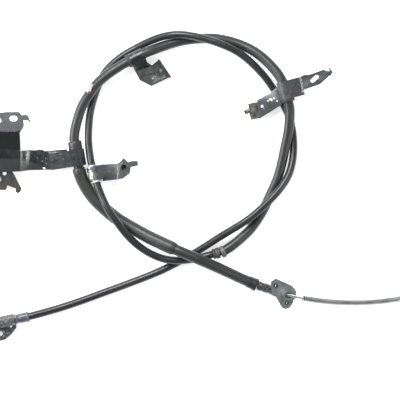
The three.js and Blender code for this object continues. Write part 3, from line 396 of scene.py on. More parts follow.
def finish_material(name, base, tints=(), spots=(), rough=(0.4, 0.5), metal=0.0, bump=(900, 0.05),
                    along=False, coat=0.0):
    """A Principled material. Tints are (colour, scale, low, high), spots are (place, radius, colour)."""
    material = bpy.data.materials.new(name)
    material.use_nodes = True
    tree = material.node_tree
    shader = tree.nodes["Principled BSDF"]
    shader.inputs["Metallic"].default_value = metal
    shader.inputs["Coat Weight"].default_value = coat
    coords = tree.nodes.new("ShaderNodeTexCoord")
    place = coords.outputs["Object"]
    surface = place
    if along:
        stretch = tree.nodes.new("ShaderNodeMapping")
        stretch.inputs["Scale"].default_value = ALONG_SCALE
        tree.links.new(coords.outputs["UV"], stretch.inputs["Vector"])
        surface = stretch.outputs["Vector"]

    def grain(vector, scale, low, high):
        node = tree.nodes.new("ShaderNodeGroup")
        node.node_tree = grain_group
        node.inputs["Scale"].default_value = scale
        node.inputs["Low"].default_value = low
        node.inputs["High"].default_value = high
        tree.links.new(vector, node.inputs["Vector"])
        return node.outputs["Mask"]

    def over(below, colour, mask):
        mix = tree.nodes.new("ShaderNodeMix")
        mix.data_type = "RGBA"
        if isinstance(below, tuple):
            mix.inputs["A"].default_value = (*below, 1)
        else:
            tree.links.new(below, mix.inputs["A"])
        mix.inputs["B"].default_value = (*colour, 1)
        tree.links.new(mask, mix.inputs["Factor"])
        return mix.outputs["Result"]

    colour = base
    for tint, scale, low, high in tints:
        colour = over(colour, tint, grain(place, scale, low, high))
    for centre, radius, tint in spots:
        node = tree.nodes.new("ShaderNodeGroup")
        node.node_tree = spot_group
        node.inputs["Centre"].default_value = centre
        node.inputs["Radius"].default_value = radius
        tree.links.new(place, node.inputs["Vector"])
        colour = over(colour, tint, node.outputs["Mask"])
    if isinstance(colour, tuple):
        shader.inputs["Base Color"].default_value = (*colour, 1)
    else:
        tree.links.new(colour, shader.inputs["Base Color"])
    wander = tree.nodes.new("ShaderNodeMapRange")
    wander.inputs["To Min"].default_value = rough[0]
    wander.inputs["To Max"].default_value = rough[1]
    tree.links.new(grain(place, WEAR_SCALE, 0.35, 0.65), wander.inputs["Value"])
    tree.links.new(wander.outputs[0], shader.inputs["Roughness"])
    bumps = tree.nodes.new("ShaderNodeBump")
    bumps.inputs["Strength"].default_value = bump[1]
    bumps.inputs["Distance"].default_value = BUMP_DEPTH
    tree.links.new(grain(surface, bump[0], 0.3, 0.7), bumps.inputs["Height"])
    tree.links.new(bumps.outputs["Normal"], shader.inputs["Normal"])
    return material


# %% [markdown]
# ## The finishes
# Colours are linear. The coverings are dark with a soft sheen, the coated sheet shows chips and other
# spots where the photograph has them, with painted highlights on its edges, folds and bends and painted
# light and shade on its plate, wall and bent end, and the zinc runs from bright on the clip's liner to
# brown on the crimp, with a painted reflection on the clip's strap.

# %% Finishes
OLIVE = (0.055, 0.065, 0.045)
PALE_CHIP_AND_PAINTED_HIGHLIGHT = (0.85, 0.87, 0.9)  # bare metal in the right arm's chips, painted highlight on the left arm's bend
# Painted shade for the right bracket's bent-down end, then a painted highlight for its fold line
SHADE = (0.022, 0.020, 0.016)
PAINTED_FOLD_HIGHLIGHT = (0.30, 0.36, 0.40)


def spot_row(height_mm, colour, *spots):
    """Spots of one colour at one height, each given by its place on the grid and its radius."""
    return [(at(u, v, height_mm), radius, colour) for u, v, radius in spots]


thin_jacket = finish_material(
    "gloss_jacket", (0.013, 0.014, 0.016), [((0.024, 0.025, 0.029), 30, 0.4, 0.7)],
    rough=(0.28, 0.38), bump=(60, 0.05), along=True, coat=0.08)
thick_jacket = finish_material(
    "satin_jacket", (0.017, 0.020, 0.0195), [((0.030, 0.034, 0.032), 26, 0.4, 0.7)],
    rough=(0.32, 0.42), bump=(60, 0.08), along=True)
sleeve_jacket = finish_material(
    "sleeve_jacket", (0.019, 0.022, 0.0215), [((0.033, 0.037, 0.035), 24, 0.4, 0.7)],
    rough=(0.34, 0.46), bump=(60, 0.1), along=True)
rubber = finish_material(
    "black_rubber", (0.022, 0.025, 0.025), [((0.04, 0.045, 0.044), 120, 0.45, 0.7)], rough=(0.5, 0.65))
print("jackets and rubber done")

# The left bracket has painted shade on its sloped wall and painted light on its flat plate; its arm is paler and
# its lug brown
left_bracket_painted_shade_and_light = [
    (at(8, 146, 17), 0.0330, (0.007, 0.010, 0.010)), (at(8, 60, 23), 0.0812, (0.080, 0.083, 0.090)),
    (at(8, 240, 12), 0.0912, (0.026, 0.032, 0.031)), (at(12, 200, 12), 0.0230, (0.040, 0.038, 0.030)),
]
# Pale and grey-green spots paint a highlight along the bend where the strap tail leaves the left arm; the last
# spot is a bluish tint
left_arm_painted_bend_highlights = [
    (at(42.6, 161.5, 13.6), 0.0020, PALE_CHIP_AND_PAINTED_HIGHLIGHT), (at(44.5, 168.3, 13.8), 0.0030, PALE_CHIP_AND_PAINTED_HIGHLIGHT),
    (at(46, 158.5, 13.6), 0.0018, PALE_CHIP_AND_PAINTED_HIGHLIGHT), (at(47, 164, 13.6), 0.0032, (0.16, 0.19, 0.18)),
    (at(76, 160, 14), 0.0060, (0.05, 0.05, 0.10)),
]
# Pale, grey, greenish and near-black spots at given places on the P-clip
p_clip_spots = [
    (at(143.4, 49.6, 19.6), 0.0030, (0.45, 0.5, 0.5)), (at(134, 55, 20), 0.0034, (0.12, 0.12, 0.14)),
    (at(139, 63, 16), 0.0110, (0.008, 0.011, 0.011)), (at(160.8, 70.4, 9.4), 0.0034, (0.14, 0.13, 0.13)),
    (at(164, 76.8, 9.4), 0.0034, (0.10, 0.095, 0.09)), (at(152.4, 76.8, 8.9), 0.0044, (0.07, 0.085, 0.07)),
]
black_sheet = finish_material(
    "black_coated_sheet", (0.010, 0.013, 0.014),
    [((0.036, 0.042, 0.042), 26, 0.42, 0.66), (OLIVE, 30, 0.56, 0.68),
     ((0.11, 0.13, 0.125), 420, 0.62, 0.70)],
    left_bracket_painted_shade_and_light + left_arm_painted_bend_highlights + p_clip_spots, rough=(0.22, 0.4), bump=(500, 0.14))

# The right bracket has bare chips on its arm, painted shade on its bent-down end and a painted highlight along
# its fold line
right_arm_chips = spot_row(
    11.4, PALE_CHIP_AND_PAINTED_HIGHLIGHT,
    (268, 101, 0.0024), (271, 99.8, 0.0033), (274, 98.4, 0.0027), (277, 101.4, 0.0024),
    (262, 106.4, 0.0033), (264, 111.5, 0.0018), (276, 96, 0.0021), (263.6, 109, 0.0018),
    (279, 104, 0.0018))
# Painted highlight along the right bracket's fold line
painted_fold_highlight = (
    [(at(300.2, 77.8, 15), 0.0034, (0.24, 0.29, 0.32))]
    + spot_row(15, PAINTED_FOLD_HIGHLIGHT, (301, 81, 0.0034), (301.6, 84, 0.0034))
    + [(at(302.2, 87, 15), 0.0034, (0.30, 0.36, 0.38))]
    + spot_row(15, PAINTED_FOLD_HIGHLIGHT, (300.6, 79.5, 0.0030), (301.2, 82.5, 0.0030), (301.8, 85.5, 0.0030))
    + [(at(302.3, 88.5, 15), 0.0030, (0.30, 0.36, 0.38)),
       (at(302.8, 91.5, 15), 0.0034, (0.33, 0.37, 0.33))])
grey_sheet = finish_material(
    "grey_coated_sheet", (0.042, 0.048, 0.050),
    [((0.062, 0.06, 0.075), 30, 0.5, 0.68), ((0.07, 0.08, 0.075), 90, 0.5, 0.66),
     ((0.15, 0.16, 0.16), 420, 0.64, 0.72)],
    # Painted shade on the bent-down end of the right bracket's arm, then the fold's painted highlight
    right_arm_chips + [(at(251, 110.5, 8), 0.0110, SHADE), (at(246, 112, 6), 0.0090, SHADE)] + painted_fold_highlight
    + [(at(328.6, 76.4, 13.6), 0.0018, PALE_CHIP_AND_PAINTED_HIGHLIGHT)],
    rough=(0.26, 0.4), bump=(500, 0.12))
# The chamfers' paler finish is edge wear and a painted highlight along the sheet's edges
edge_wear_and_painted_highlight = finish_material(
    "sheet_edge_wear_and_painted_highlight", (0.15, 0.165, 0.165), [((0.015, 0.018, 0.018), 130, 0.40, 0.52)],
    rough=(0.3, 0.45))
print("coated sheet done")

zinc = finish_material(
    "bright_zinc", (0.5, 0.515, 0.52),
    [((0.36, 0.39, 0.26), 60, 0.5, 0.64), ((0.20, 0.19, 0.25), 60, 0.56, 0.7)],
    rough=(0.3, 0.44), bump=(700, 0.1), metal=0.7)
pale_zinc = finish_material(
    "pale_crimp_ring", (0.13, 0.13, 0.128), [((0.08, 0.08, 0.076), 150, 0.48, 0.66)],
    rough=(0.4, 0.5), metal=0.2)
# Pale and olive spots paint the reflection of bright light on the left side of the clip's strap; the dark bluish
# spot is a tint
clip_strap_painted_highlights = [
    (at(87.5, 163.5, 19), 0.0054, (0.5, 0.52, 0.52)), (at(88.5, 166.5, 19), 0.0040, (0.55, 0.57, 0.57)),
    (at(91.5, 174, 18), 0.0056, (0.42, 0.44, 0.33)), (at(92, 178, 18), 0.0044, (0.52, 0.54, 0.52)),
    (at(104, 168, 15.6), 0.0040, (0.085, 0.08, 0.12)),
]
dark_zinc = finish_material(
    "dull_zinc", (0.085, 0.088, 0.088),
    [((0.075, 0.072, 0.095), 40, 0.54, 0.7), ((0.13, 0.135, 0.125), 150, 0.52, 0.7)],
    clip_strap_painted_highlights, rough=(0.32, 0.46), bump=(500, 0.12), metal=0.6)
block_zinc = finish_material(
    "textured_zinc", (0.11, 0.117, 0.12),
    [((0.07, 0.07, 0.10), 60, 0.44, 0.62), ((0.25, 0.26, 0.25), 420, 0.55, 0.66)],
    rough=(0.34, 0.5), bump=(420, 0.25), metal=0.5)
ferrule_zinc = finish_material(
    "silver_ferrule", (0.13, 0.135, 0.15),
    [((0.085, 0.08, 0.115), 60, 0.48, 0.62), ((0.24, 0.25, 0.26), 300, 0.56, 0.66)],
    rough=(0.32, 0.46), bump=(420, 0.15), metal=0.5)
crimp_zinc = finish_material(
    "brown_crimped_zinc", (0.048, 0.045, 0.041), [((0.10, 0.097, 0.092), 130, 0.5, 0.7)],
    rough=(0.42, 0.55), metal=0.2)
mottled_zinc = finish_material(
    "mottled_ferrule", (0.10, 0.108, 0.115),
    [((0.5, 0.52, 0.54), 520, 0.58, 0.66), ((0.04, 0.042, 0.05), 330, 0.54, 0.64)],
    rough=(0.22, 0.4), metal=0.8)
olive_zinc = finish_material(
    "grey_green_zinc", (0.15, 0.18, 0.175),
    [((0.19, 0.21, 0.28), 50, 0.5, 0.7), ((0.09, 0.11, 0.10), 90, 0.52, 0.7)],
    rough=(0.3, 0.42), bump=(420, 0.2), metal=0.6)
spring_steel = finish_material(
    "spring_steel", (0.018, 0.015, 0.022), [((0.035, 0.03, 0.042), 200, 0.5, 0.66)],
    rough=(0.22, 0.3), metal=0.4)
steel = finish_material(
    "bright_steel", (0.5, 0.52, 0.5), [((0.3, 0.32, 0.29), 200, 0.5, 0.66)],
    rough=(0.24, 0.34), metal=0.9)
tape = finish_material(
    "pale_tape", (0.35, 0.295, 0.30), [((0.42, 0.385, 0.385), 200, 0.45, 0.6)],
    [(at(90.2, 93.8, 20.5), 0.0038, (0.09, 0.018, 0.022))], rough=(0.6, 0.75))
for piece, material in (
    (thin_tube, thin_jacket), (thick_tube, thick_jacket),
    (sleeve_tube, sleeve_jacket), (drum_tube, thick_jacket),
):
    piece.data.materials.append(material)
print(len(bpy.data.materials), "materials")

# %% [markdown]
# ## Sheet metal with broken edges
# Pressed sheet never has knife edges. Each bracket's CAD mesh is copied, its triangles are merged
# back into flat faces and its edges are chamfered. The chamfers get their own paler finish, partly edge
# wear and partly a painted highlight, which draws the thin light outline that coated sheet shows.

# %% Sheet pieces
EDGE = 0.00035
TAPE_EDGE = 0.0001
MERGE = 2e-6  # vertices closer than this are one


def chamfered(node, piece_name, body, material, edge_material=None, width=EDGE):
    """A copy of a CAD node with merged faces and chamfered edges."""
    source = frame["nodes"][node]
    mesh = source.data.copy()
    mesh.name = piece_name
    mesh.transform(source.matrix_world)
    mesh.materials.clear()
    mesh.materials.append(material)
    mesh.materials.append(edge_material or material)
    bm = bmesh.new()
    bm.from_mesh(mesh)
    bmesh.ops.remove_doubles(bm, verts=bm.verts, dist=MERGE)
    bmesh.ops.dissolve_limit(bm, angle_limit=math.radians(1), verts=bm.verts, edges=bm.edges)
    for face in bm.faces:
        face.material_index = 0
        face.smooth = True
    sharp = [e for e in bm.edges if e.is_manifold and e.calc_face_angle() > math.radians(28)]
    bmesh.ops.bevel(
        bm, geom=sharp, offset=width, segments=1, affect="EDGES", clamp_overlap=True, material=1)
    bmesh.ops.remove_doubles(bm, verts=bm.verts, dist=MERGE)
    bmesh.ops.triangulate(bm, faces=[f for f in bm.faces if len(f.verts) > 4])
    bmesh.ops.recalc_face_normals(bm, faces=bm.faces)
    open_edges = sum(not e.is_manifold for e in bm.edges)
    bm.to_mesh(mesh)
    bm.free()
    mesh.set_sharp_from_angle(angle=math.radians(30))
    piece = new_piece(piece_name, mesh)
    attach(piece, body)
    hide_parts(node)
    print(f"{piece_name}: {len(mesh.polygons)} faces, {open_edges} open edges")
    return piece


# Where an edge finish is paler than the faces, as on the coated sheet and on the clip and lever brackets, it
# paints a highlight along the chamfers
for node, slot_name, material, edge in (
    ("left_bracket", "black_sheet", black_sheet, edge_wear_and_painted_highlight),
    ("left_lug", "black_sheet", black_sheet, edge_wear_and_painted_highlight),
    ("p_clip", "black_sheet", black_sheet, edge_wear_and_painted_highlight),
    ("right_bracket", "grey_sheet", grey_sheet, edge_wear_and_painted_highlight),
    ("clip_bracket", "dark_zinc", dark_zinc, pale_zinc),
    ("clip_nut", "dark_zinc", dark_zinc, dark_zinc),
    ("lever_bracket", "dark_zinc", block_zinc, zinc),
    ("drum_flange", "olive_zinc", olive_zinc, olive_zinc),
    ("tape_tag", "tape", tape, tape),
):
    width = TAPE_EDGE if node == "tape_tag" else EDGE
    chamfered(node, "dressed_" + node, "covering", material, edge, width)

# %% [markdown]
# ## Turned and crimped pieces
# Ferrules, collars and grommets are round, so each is a profile turned round the cable. The crimped
# ferrules are squeezed at intervals by a tool with flat jaws, which leaves rows of shallow flats.

# %% Turned pieces
UP = Vector((0, 0, 1))


def frame_along(origin, axis):
    """A frame whose local Z runs along an axis, with local Y up."""
    axis = axis.normalized()
    side = UP.cross(axis).normalized()
    return Matrix((side, axis.cross(side), axis)).transposed().to_4x4(), origin


def between(start, end, share=0.5):
    a, b = POINTS[MARKS[start]], POINTS[MARKS[end]]
    return frame_along(a.lerp(b, share), b - a)


SQUEEZED = 3.6  # the jaws reach only radii above this, in millimetres


def lathe(node, profile, place, material, body="covering", squeeze=None, sides=64,
          stands_in=True):
    """A turned piece: profile of (radius, distance along the axis) in millimetres, closed on itself."""
    turn, origin = place
    verts, faces = [], []
    count = len(profile)
    for i, (radius, along) in enumerate(profile):
        for k in range(sides):
            angle = math.tau * k / sides
            r = radius * (squeeze(angle, along) if squeeze and radius > SQUEEZED else 1)
            local = Vector((math.cos(angle) * r, math.sin(angle) * r, along)) / 1000
            verts.append(origin + turn.to_3x3() @ local)
    for i in range(count):
        j = (i + 1) % count
        for k in range(sides):
            m = (k + 1) % sides
            faces.append((i * sides + k, i * sides + m, j * sides + m, j * sides + k))
    mesh = bpy.data.meshes.new("dressed_" + node)
    mesh.from_pydata(verts, [], faces)
    bm = bmesh.new()
    bm.from_mesh(mesh)
    bmesh.ops.remove_doubles(bm, verts=bm.verts, dist=MERGE)
    bmesh.ops.dissolve_degenerate(bm, edges=bm.edges, dist=MERGE)
    bmesh.ops.recalc_face_normals(bm, faces=bm.faces)
    open_edges = sum(not e.is_manifold for e in bm.edges)
    bm.to_mesh(mesh)
    bm.free()
    mesh.materials.append(material)
    mesh.shade_smooth()
    mesh.set_sharp_from_angle(angle=math.radians(32))
    piece = new_piece("dressed_" + node, mesh)
    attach(piece, body)
    if stands_in:
        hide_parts(node)
    print(f"{piece.name}: {len(mesh.polygons)} faces, {open_edges} open edges")
    return piece


print("turned pieces are ready")

# %% [markdown]
# ## Lever end, crimp and collars
# Each profile lists (radius, distance) pairs in millimetres. The distances run along the cable from
# the place where the piece sits.

# %% Lever end, crimp and collars
THIN_INNER = THIN / 2 + 0.45
THICK_INNER = THICK / 2 + 0.45
lever_place = between("leverMouth", "leverOut", 0)
crimp_start, ring_start, ring_end = (POINTS[MARKS[m]] for m in ("thinEnd", "thickStart", "thickOut"))


def jaw_marks(angle, along):
    """Eight shallow flats that a crimping tool leaves round the pressed bands."""
    return 1 - 0.02 * (0.5 + 0.5 * math.cos(8 * angle)) * (0.5 + 0.5 * math.cos(along * 1.9))


body = THIN_INNER + 0.8
lathe("lever_ferrule", [
    (1.95, 0.4), (body - 0.3, 0.4), (body, 0.7), (body, 2.6), (body - 0.5, 3.4), (body - 0.5, 5.6),
    (body, 6.4), (body, 8), (body, 10), (body, 12), (body - 0.3, 12.4), (body - 0.3, 13.4), (body + 0.4, 13.8),
    (body + 0.5, 14), (body + 0.5, 15.4), (body + 0.2, 15.9), (THIN_INNER, 16), (THIN_INNER, 7), (1.95, 7),
], lever_place, ferrule_zinc, squeeze=jaw_marks)
lathe("crimp_ferrule", [
    (THIN_INNER, -1.4), (5.3, -1.4), (5.7, -1.1), (5.8, -0.7), (5.8, 0.4), (5.35, 0.9), (5.3, 1.8),
    (6.0, 2.5), (6.1, 2.8), (6.1, 4.4), (6.1, 5.9), (5.9, 6.1), (4, 6.1), (4, 7.3), (2.2, 7.3),
    (2.2, 1.4), (THIN_INNER, 1.4),
], frame_along(crimp_start, (ring_start - crimp_start)), crimp_zinc, squeeze=jaw_marks)
# The ring sits where the cable turns a little, so it faces along the mean of the two directions
mean_direction = (ring_start - crimp_start).normalized() + (ring_end - ring_start).normalized()
lathe("crimp_ring", [
    (4.6, -2.4), (5.9, -2.4), (6.1, -2.2), (6.1, -1.1), (6.4, -0.9), (6.5, -0.6), (6.5, 1.4),
    (6.35, 1.8), (6.0, 2.1),
    (THICK_INNER, 2.1), (THICK_INNER, -1.3), (4.6, -1.3),
], frame_along(ring_start, mean_direction), pale_zinc)

# The clip's liner has a flared lip that shows below the strap
side, outer = 7.5, THIN_INNER + 0.8
lathe("clip_liner", [
    (THIN_INNER, -side - 1.8), (outer - 0.2, -side - 1.8), (outer, -side - 1.6), (outer, side + 0.6),
    (outer + 0.4, side + 0.8), (outer + 0.9, side + 1.4), (outer + 1, side + 1.8), (outer + 1, side + 2.4),
    (outer + 0.6, side + 3), (outer - 0.4, side + 3.4), (THIN_INNER, side + 3.4),
], between("collarIn", "collarOut", 0.485), zinc)

collar = THICK / 2 + 0.8
lathe("p_clip_collar", [
    (collar, 8.3), (collar + 0.9, 8.3), (collar + 1.1, 8.6), (collar + 1.0, 10), (collar + 0.9, 11.4),
    (collar + 0.7, 11.7), (collar, 11.7),
], between("pClipIn", "pClipOut"), rubber)
lathe("right_grommet", [
    (collar, 10.3), (collar + 1.6, 10.3), (collar + 1.7, 10.6), (collar + 1.5, 12.4),
    (collar + 1.3, 12.9), (collar, 12.9),
], between("rightOut", "rightIn"), rubber)
wall = THICK_INNER + 1.5
lathe("left_grommet", [
    (THICK_INNER, -9), (wall, -9), (wall, 9.3), (wall + 0.2, 9.6), (wall + 0.2, 13), (wall + 0.1, 17),
    (wall - 0.2, 18), (wall - 0.6, 18.4), (THICK_INNER, 18.4),
], between("leftOut", "leftIn", 0.36), thick_jacket)

# %% [markdown]
# ## Drum end
# The ferrule there has five pressed bands with small dents, the boot grips the covering's end, and
# the oblique flange has two bolt holes.

# %% Drum end
drum_turn = frame_along(at(257.6, 285.3, 11), Vector((15.5, -5.05, 0)))


def knurl(angle, along):
    """Bands of small dents round the ferrule, deeper in the middle of each band."""
    dents = max(0.0, math.sin(12 * angle + 3.1 * math.floor(along / 1.8)))
    return 1 - 0.035 * dents * (0.4 + 0.6 * abs(math.sin(along * 1.745)))


bands = [(3.5, 0), (4.9, 0), (5.15, 0.3)]
for start, end, radius in (
    (0.6, 4.0, 5.2), (4.4, 6.8, 4.8), (7.2, 11.2, 5.2), (11.5, 13.6, 4.8), (14.0, 17.8, 5.2),
):
    for n in range(6):
        bands.append((radius, start + (end - start) * n / 5))
lathe("drum_ferrule", bands + [(5.0, 18), (3.5, 18)], drum_turn, mottled_zinc, squeeze=knurl)
boot = DRUM_SIDE / 2 + 0.65
lathe("drum_boot", [
    (boot - 0.5, -9), (boot - 0.3, -9), (boot - 0.1, -8.8), (boot, -6), (boot + 0.1, -3), (boot + 0.5, -1),
    (boot + 0.7, 0.6), (boot + 0.45, 1.4), (boot - 0.2, 1.8), (3.6, 1.8), (3.6, 0.5), (boot - 0.5, 0.5),
], between("drumSideIn", "drumSideEnd", 1), thin_jacket)

# Each bolt hole of the flange gets a turned-in rim, whose slanting bore shows dark from above; its dark brown
# zinc, darker than the flange, is painted shade in the holes
FLANGE_FALL = 0.7  # of the flange's face for each millimetre along the cable
FLANGE_MIDDLE = 11.33  # height of the sheet's middle at the flange's centre
HOLE_BORE = 1.5
downhill = Vector((15.5, -6, 0)).normalized()
flange_turn = frame_along(Vector((0, 0, 0)), downhill * FLANGE_FALL + UP)[0]
for number, (u, v, hole) in enumerate(((275.1, 285.3, 2.5), (286.6, 302.8, 2.2))):
    along = ((at(u, v, 0) - at(284.5, 295.8, 0)) * 1000).dot(downhill)
    lathe(f"flange_hole_{number + 1}", [
        (HOLE_BORE, -1.5), (hole + 0.1, -1.5), (hole + 0.3, 1.5), (hole, 1.7), (HOLE_BORE + 0.3, 1.7),
        (HOLE_BORE, 1.4),
    ], (flange_turn, at(u, v, FLANGE_MIDDLE - FLANGE_FALL * along)), crimp_zinc,
        stands_in=False)

# %% [markdown]
# ## The small parts of the two wire ends
# A rivet holds the lug, and a cast nipple ends each bare wire. They turn about their own lines.

# %% Rivet and wire ends
rivet_place = (Matrix.Identity(4), at(-1.4, 179.4, 9.9))
lathe("lug_rivet", [
    (0, -3.7), (3.2, -3.7), (3.8, -3.1), (3.8, -2.3), (2, -2.3), (2, 0.3), (3.8, 0.3), (3.7, 0.8), (3.3, 1.5),
    (2.5, 2.1), (1.4, 2.4), (0, 2.5),
], rivet_place, zinc)
lathe("lever_nipple", [
    (0, -49.4), (1.8, -49.4), (2.4, -49.3), (4.2, -47.8), (4.5, -47.2), (4.5, -39.2), (4.3, -38.8), (3, -37),
    (1.8, -37), (1.8, -46.3), (0, -46.3),
], lever_place, steel, body="lever_end_wire")


def arc_point(angle):
    """A point of the bare wire's level arc, at an angle from straight below its centre."""
    return at(ARC_U + ARC_RADIUS / GRID * math.sin(angle), ARC_V + ARC_RADIUS / GRID * math.cos(angle), 11)


def arc_angle(u, further=0.0):
    return math.asin((u - ARC_U) * GRID / ARC_RADIUS) + further / ARC_RADIUS


def on_arc(angle):
    """The frame for a piece threaded on the wire's arc."""
    return frame_along(arc_point(angle), arc_point(angle + 0.001) - arc_point(angle - 0.001))


WIRE_FROM, WIRE_TO, SPRING_FROM = 259, 424, 301.4  # places on the grid, u
SPRING_TURNS, SPRING_PITCH = 45, 0.00264
END_GAP = 0.0012  # before the first coil, which keeps it off the flange, and before the seat
spring_start = arc_angle(SPRING_FROM, END_GAP)
spring_end = arc_angle(SPRING_FROM, SPRING_TURNS * SPRING_PITCH)
lathe("spring_seat", [
    (1.8, 0), (4.3, 0), (4.6, 0.3), (4.6, 1.1), (4.3, 1.4), (1.8, 1.4),
], on_arc(arc_angle(SPRING_FROM, SPRING_TURNS * SPRING_PITCH + END_GAP)), steel,
    body="drum_end_wire")
lathe("drum_nipple", [
    (0, 0.3), (1.8, 0.3), (1.8, -7.6), (3.3, -7.6), (3.7, -7.5), (4.5, -6.7), (4.6, -6.4), (4.6, 1.4), (4.3, 1.9),
    (3.2, 3.1), (2.6, 3.2), (0, 3.2),
], on_arc(arc_angle(WIRE_TO)), zinc, body="drum_end_wire")

# %% [markdown]
# ## Strands and coils with Geometry Nodes
# A wire rope and a spring are the same thing: curves that wind round a middle line. One node tree
# copies the middle line once for every strand, pushes each point out sideways by an angle that
# grows along the line, and gives the result a round section. Its inputs choose rope or spring.

# %% Winding tree
def node_of(tree, kind, **settings):
    node = tree.nodes.new(kind)
    for key, value in settings.items():
        setattr(node, key, value)
    return node


wind = bpy.data.node_groups.new("wind_round", "GeometryNodeTree")
wind.interface.new_socket(name="Line", in_out="INPUT", socket_type="NodeSocketGeometry")
for socket, kind in (
    ("Strands", "NodeSocketInt"), ("Step", "NodeSocketFloat"), ("Out", "NodeSocketFloat"),
    ("Turns per metre", "NodeSocketFloat"), ("Thickness", "NodeSocketFloat"), ("Sides", "NodeSocketInt"),
    ("Material", "NodeSocketMaterial"),
):
    wind.interface.new_socket(name=socket, in_out="INPUT", socket_type=kind)
wind.interface.new_socket(name="Winding", in_out="OUTPUT", socket_type="NodeSocketGeometry")
given = node_of(wind, "NodeGroupInput")
result = node_of(wind, "NodeGroupOutput")
link = wind.links.new

resample = node_of(wind, "GeometryNodeResampleCurve", mode="LENGTH")
link(given.outputs["Line"], resample.inputs["Curve"])
link(given.outputs["Step"], resample.inputs["Length"])
points = node_of(wind, "GeometryNodePoints")
link(given.outputs["Strands"], points.inputs["Count"])
copies = node_of(wind, "GeometryNodeInstanceOnPoints")
link(points.outputs["Points"], copies.inputs["Points"])
link(resample.outputs["Curve"], copies.inputs["Instance"])
strand = node_of(wind, "GeometryNodeStoreNamedAttribute", data_type="INT", domain="INSTANCE")
strand.inputs["Name"].default_value = "strand"
link(copies.outputs["Instances"], strand.inputs["Geometry"])
link(node_of(wind, "GeometryNodeInputIndex").outputs[0], strand.inputs["Value"])
real = node_of(wind, "GeometryNodeRealizeInstances")
link(strand.outputs["Geometry"], real.inputs["Geometry"])


def math_node(operation, a, b):
    node = node_of(wind, "ShaderNodeMath", operation=operation)
    for socket, value in zip(node.inputs, (a, b)):
        if isinstance(value, (int, float)):
            socket.default_value = value
        elif value is not None:
            link(value, socket)
    return node.outputs[0]


read = node_of(wind, "GeometryNodeInputNamedAttribute", data_type="INT")
read.inputs["Name"].default_value = "strand"
along = node_of(wind, "GeometryNodeSplineParameter").outputs["Length"]
share = math_node("DIVIDE", read.outputs["Attribute"], given.outputs["Strands"])
turn = math_node("MULTIPLY", math_node("MULTIPLY", along, given.outputs["Turns per metre"]), math.tau)
turn_share = math_node("MULTIPLY", share, math.tau)
angle = math_node("ADD", turn, turn_share)


def vector_node(operation, a, b=None, scale=None):
    node = node_of(wind, "ShaderNodeVectorMath", operation=operation)
    link(a, node.inputs[0])
    if b is not None:
        link(b, node.inputs[1])
    if scale is not None:
        link(scale, node.inputs["Scale"])
    return node.outputs["Vector"]


normal = node_of(wind, "GeometryNodeInputNormal").outputs[0]
tangent = node_of(wind, "GeometryNodeInputTangent").outputs[0]
sideways = vector_node("CROSS_PRODUCT", tangent, normal)
outwards = vector_node(
    "ADD",
    vector_node("SCALE", normal, scale=math_node("COSINE", angle, None)),
    vector_node("SCALE", sideways, scale=math_node("SINE", angle, None)))
moved = node_of(wind, "GeometryNodeSetPosition")
link(real.outputs["Geometry"], moved.inputs["Geometry"])
link(vector_node("SCALE", outwards, scale=given.outputs["Out"]), moved.inputs["Offset"])
section = node_of(wind, "GeometryNodeCurvePrimitiveCircle")
link(given.outputs["Sides"], section.inputs["Resolution"])
link(given.outputs["Thickness"], section.inputs["Radius"])
swept = node_of(wind, "GeometryNodeCurveToMesh")
swept.inputs["Fill Caps"].default_value = True
link(moved.outputs["Geometry"], swept.inputs["Curve"])
link(section.outputs["Curve"], swept.inputs["Profile Curve"])
whole = node_of(wind, "GeometryNodeRealizeInstances")
link(swept.outputs["Mesh"], whole.inputs["Geometry"])
painted = node_of(wind, "GeometryNodeSetMaterial")
link(whole.outputs["Geometry"], painted.inputs["Geometry"])
link(given.outputs["Material"], painted.inputs["Material"])
link(painted.outputs["Geometry"], result.inputs["Winding"])
print("winding tree:", len(wind.nodes), "nodes")

# %% [markdown]
# ## Spring and wire ropes
# The same tree makes all three. A rope has nine thin strands round a plain core, the spring one
# thick strand and no core.

# %% Windings
def winding(name, path, material, **numbers):
    """Strands wound round a path, as a plain mesh in the row frame."""
    line = bpy.data.curves.new(name, "CURVE")
    line.dimensions = "3D"
    spline = line.splines.new("POLY")
    spline.points.add(len(path) - 1)
    for point, p in zip(spline.points, path):
        point.co = (*p, 1)
    holder = new_piece(name + "_line", line)
    modifier = holder.modifiers.new("wind", "NODES")
    modifier.node_group = wind
    names = {item.name: item.identifier for item in wind.interface.items_tree if item.in_out == "INPUT"}
    modifier[names["Material"]] = material
    for key, value in numbers.items():
        modifier[names[key.replace("_", " ")]] = value
    bpy.context.view_layer.update()
    graph = bpy.context.evaluated_depsgraph_get()
    mesh = bpy.data.meshes.new_from_object(holder.evaluated_get(graph))
    bpy.data.objects.remove(holder)
    bm = bmesh.new()
    bm.from_mesh(mesh)
    bmesh.ops.recalc_face_normals(bm, faces=bm.faces)
    bm.to_mesh(mesh)
    bm.free()
    mesh.shade_smooth()
    piece = new_piece(name, mesh)
    print(f"{name}: {len(mesh.polygons)} faces")
    return piece


def arc_path(start, end, step=0.0015):
    count = max(2, round((end - start) * ARC_RADIUS / step))
    return [arc_point(start + (end - start) * i / count) for i in range(count + 1)]


